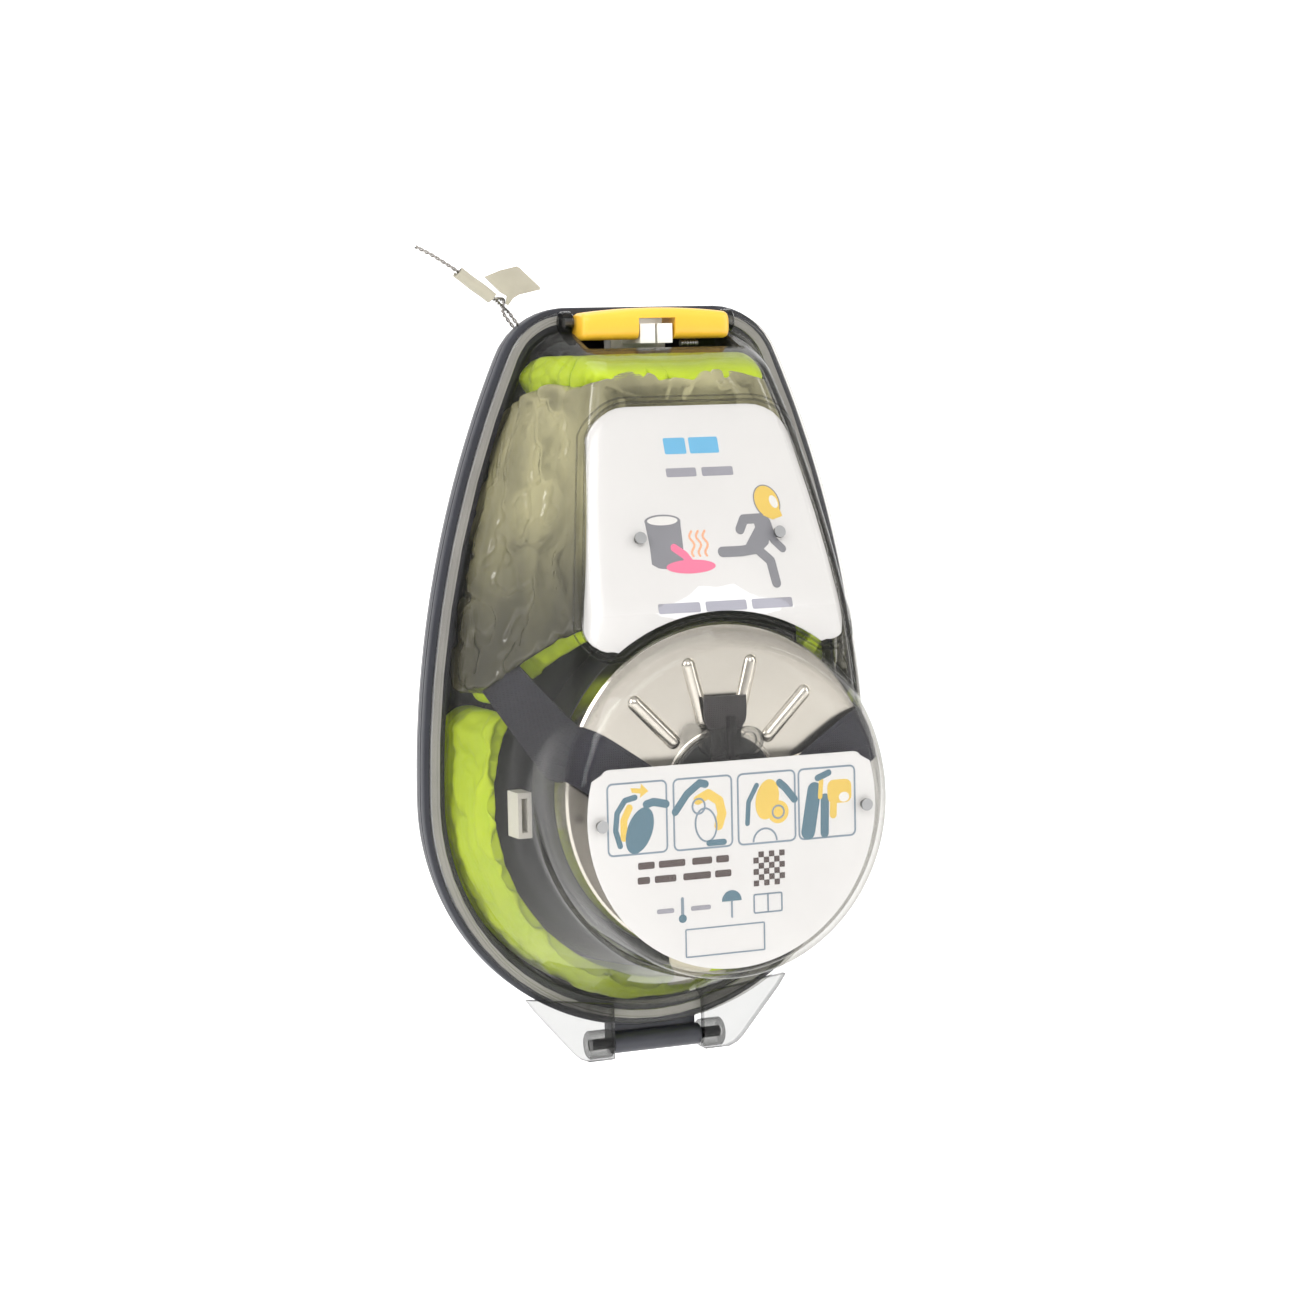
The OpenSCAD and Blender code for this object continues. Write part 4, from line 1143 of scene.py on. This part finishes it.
lower_art += bars("dark", -17.7, -15.9, [(-27.4, -22.8), (-21.6, -14.2), (-12.2, -6.6), (-5.4, -1.8)]) \
    + bars("dark", -21.5, -19.7, [(-27.6, -24.2), (-22.8, -16.8), (-14.8, -7), (-5.8, -1.2)]) \
    + [("dark", rounded(5.2 + 1.5 * i, -24.8 + 1.5 * j, 6.7 + 1.5 * i, -23.3 + 1.5 * j, 0.1))
       for i in range(6) for j in range(6) if (i + j) % 2 == 0] \
    + bars("text", -29.6, -28.4, [(-22.4, -17.6), (-12.8, -7.2)]) \
    + stroke("line", [(-15.2, -26.2), (-15.2, -31)], 0.8) + [("blue", oval(-15.2, -31.4, 1.1, 1.1))] \
    + [("blue", arc2((-1.2, -28), 2.8, 0, 180, 16))] + stroke("line", [(-1.2, -28), (-1.2, -32.2)], 0.5) \
    + framed(5.2, -31.8, 13.2, -27, 0.4, 0.2) + stroke("line", [(9.2, -31.6), (9.2, -27.2)], 0.4) \
    + framed(-14.4, -41.6, 8, -34.4, 0.3, 0.18)
printed("lower_label_print", lower_art, lambda x, z, w: (x, DRUM_Y + WALL + 0.19 - w, z), "lower_label")


# ---- tamper seal
SEAL_Y = PART_Y - 4
SEAL_A, SEAL_B = np.array([-53.6, SEAL_Y, 136.0]), np.array([-43.4, SEAL_Y, 128.6])


def seal_corner(r, y):
    """Point at radius r from the middle of the case's top left corner."""
    t = math.radians(52)
    return np.array([-CORNER_C[0] - r * math.cos(t), y, CORNER_C[1] + r * math.sin(t)])


def twisted(path, phase):
    """One strand of a two-wire twist along a path."""
    lay, spread = 3.4, 0.3
    pts = smooth_rows(np.array(path), 14)
    out, run = [], 0.0
    for i, p in enumerate(pts):
        d = pts[min(i + 1, len(pts) - 1)] - pts[max(i - 1, 0)]
        d /= np.linalg.norm(d)
        if i:
            run += np.linalg.norm(pts[i] - pts[i - 1])
        u = np.cross(d, [0, 1, 0.2])
        u /= np.linalg.norm(u)
        v = np.cross(d, u)
        a = 2 * math.pi * run / lay + phase
        out.append(tuple(p + spread * (u * math.cos(a) + v * math.sin(a))))
    return out


tail = [(-64.9, SEAL_Y, 142.4), (-60, SEAL_Y + 0.3, 140.0), SEAL_A, (SEAL_A + SEAL_B) / 2, SEAL_B]
first = [SEAL_B] + [seal_corner(r, PART_Y + 3.5) for r in (24, 20.5, 17)]
second = [SEAL_B, (-41.3, SEAL_Y + 1.5, 128.6), (-38.6, PART_Y + 1.6, 128.2)] \
    + [seal_corner(r, PART_Y + 7.5) for r in (24, 17)]
wires = [bead("seal_strand", twisted(path, phase), 0.24, "wire")
         for path in (tail, first, second) for phase in (0, math.pi)]
seal_wires = join(wires[0], wires[1:])
seal_wires.name = "seal_wires"
place(seal_wires, "seal_wire", "case")

# sleeve rolled from a strip, open along its seam
axis = (SEAL_B - SEAL_A) / np.linalg.norm(SEAL_B - SEAL_A)
side_v = np.array([axis[2], 0, -axis[0]])
deep_v = np.array([0, 1.0, 0])
length = np.linalg.norm(SEAL_B - SEAL_A) - 1.0
roll, n_turn, n_len = [], 54, 26
for k in range(n_len):
    f = k / (n_len - 1)
    row = []
    for i in range(n_turn):
        g = i / (n_turn - 1)
        t = math.radians(-60 + 500 * g)
        r = 0.85 + 0.95 * g + 0.06 * math.sin(f * 9 + g * 4)
        row.append(SEAL_A + axis * (0.4 + length * f + 0.25 * math.sin(g * 5))
                   + r * (side_v * math.cos(t) + deep_v * math.sin(t)))
    roll.append(row)
sleeve = new_mesh("seal_roll", np.array(roll).reshape(-1, 3), ring_faces(n_len, n_turn, wrap=False))
fix_normals(sleeve)
thicken(sleeve, 0.3)
sharpen(sleeve, 50)
paint(sleeve, M["tag"])
place(sleeve, "seal_sleeve", "case")

def flag_point(x, z, w):
    """Point of the flag, which waves a little, at a depth w through its thickness."""
    return x, SEAL_Y - 0.4 + 0.5 * math.sin((x + 38) * 0.25) + w, z


FLAG = [(-46.2, 134.4), (-41.6, 136.1), (-36.8, 137.1), (-36.0, 136.7), (-30.2, 131.5), (-30.2, 130.9),
        (-36.4, 129.6), (-38.2, 128.6), (-39.6, 126.9), (-40.4, 127.2), (-39.9, 129.3), (-41.8, 130.3)]
flag = extrude_outline("seal_flag_plate", FLAG, flag_point, 0.7, bevel=0.12)
paint(flag, M["tag"])
place(flag, "seal_flag", "case")

# ---- floor, lights, camera
# the floor is low enough for the opened cover, which swings down past the bottom of the case
FLOOR_DROP = 106
floor_z = CAD_BOX[0][2] / MM - FLOOR_DROP
WIDE, BEND = 5000, 900
sweep = [(-WIDE, floor_z), (0, floor_z), (BEND, floor_z)]
for angle in range(10, 91, 8):
    t = math.radians(angle)
    sweep.append((BEND + BEND * math.sin(t), floor_z + BEND - BEND * math.cos(t)))
sweep.append((2 * BEND, floor_z + 3500))
floor = new_mesh("floor", [(x, y, z) for y, z in sweep for x in (-WIDE, WIDE)],
                 [(2 * k, 2 * k + 1, 2 * k + 3, 2 * k + 2) for k in range(len(sweep) - 1)])
paint(floor, mat("floor_paper", (0.93, 0.93, 0.93), 0.85, vary=0.01, scale=3, bump=0.02, bump_scale=60))
nt = floor.data.materials[0].node_tree
feed(nt, nt.nodes["Principled BSDF"], {"Emission Color": (1, 1, 1, 1), "Emission Strength": 0.42})

# World: white to the camera, softer to the object, and brighter from above
world = bpy.data.worlds.new("studio")
bpy.context.scene.world = world
world.use_nodes = True
nt = world.node_tree
height = add(nt, "SeparateXYZ", {"Vector": add(nt, "TexCoord", {}).outputs["Generated"]})
lift = add(nt, "MapRange", {"Value": height.outputs["Z"], "From Min": -0.2, "From Max": 0.8,
                            "To Min": 0.38, "To Max": 0.95})
seen = add(nt, "LightPath", {}).outputs["Is Camera Ray"]
pick = add(nt, "Mix", {"Factor": seen, "A": lift.outputs["Result"], "B": 1.0})
feed(nt, nt.nodes["Background"], {"Strength": pick.outputs["Result"], "Color": (1, 1, 1, 1)})


def area(name, loc, target, size, power, size_y=None):
    """Square or, with size_y, oblong lamp aimed at a point; all in metres and watts."""
    light = bpy.data.lights.new(name, "AREA")
    light.energy = power
    light.size = size
    if size_y:
        light.shape = "RECTANGLE"
        light.size_y = size_y
    ob = link_new(name, light)
    ob.location = loc
    ob.rotation_euler = (Vector(target) - Vector(loc)).to_track_quat("-Z", "Y").to_euler()


area("key", (-1.15, -0.75, 0.75), (0, -0.04, 0.03), 0.35, 13, 1.2)
area("front", (-0.1, -1.5, 0.9), (0, -0.04, 0.03), 0.8, 7)
area("right_strip", (0.95, -0.75, 0.35), (0, -0.04, 0.03), 0.22, 5, 1.2)
area("top", (0.0, 0.1, 1.5), (0, -0.04, 0.02), 1.0, 8)

# camera: where it looks from, and how far it is turned to the object's left, down and round
EYE, LENS = Vector((-0.34825, -0.82169, 0.11427)), 88.6
AZ, PITCH, ROLL = math.radians(23.70), math.radians(5.35), math.radians(-1.21)
right = Vector((math.cos(AZ), -math.sin(AZ), 0))
ahead = Vector((math.sin(AZ) * math.cos(PITCH), math.cos(AZ) * math.cos(PITCH), -math.sin(PITCH)))
up = right.cross(ahead)
rolled_right = right * math.cos(ROLL) + up * math.sin(ROLL)
rolled_up = up * math.cos(ROLL) - right * math.sin(ROLL)
cam_data = bpy.data.cameras.new("camera")
cam_data.lens = LENS
cam_data.sensor_width = 36
cam = link_new("camera", cam_data)
cam.matrix_world = Matrix.Translation(EYE) @ Matrix((rolled_right, rolled_up, -ahead)).transposed().to_4x4()
bpy.context.scene.camera = cam
bpy.context.scene.view_settings.view_transform = "Standard"
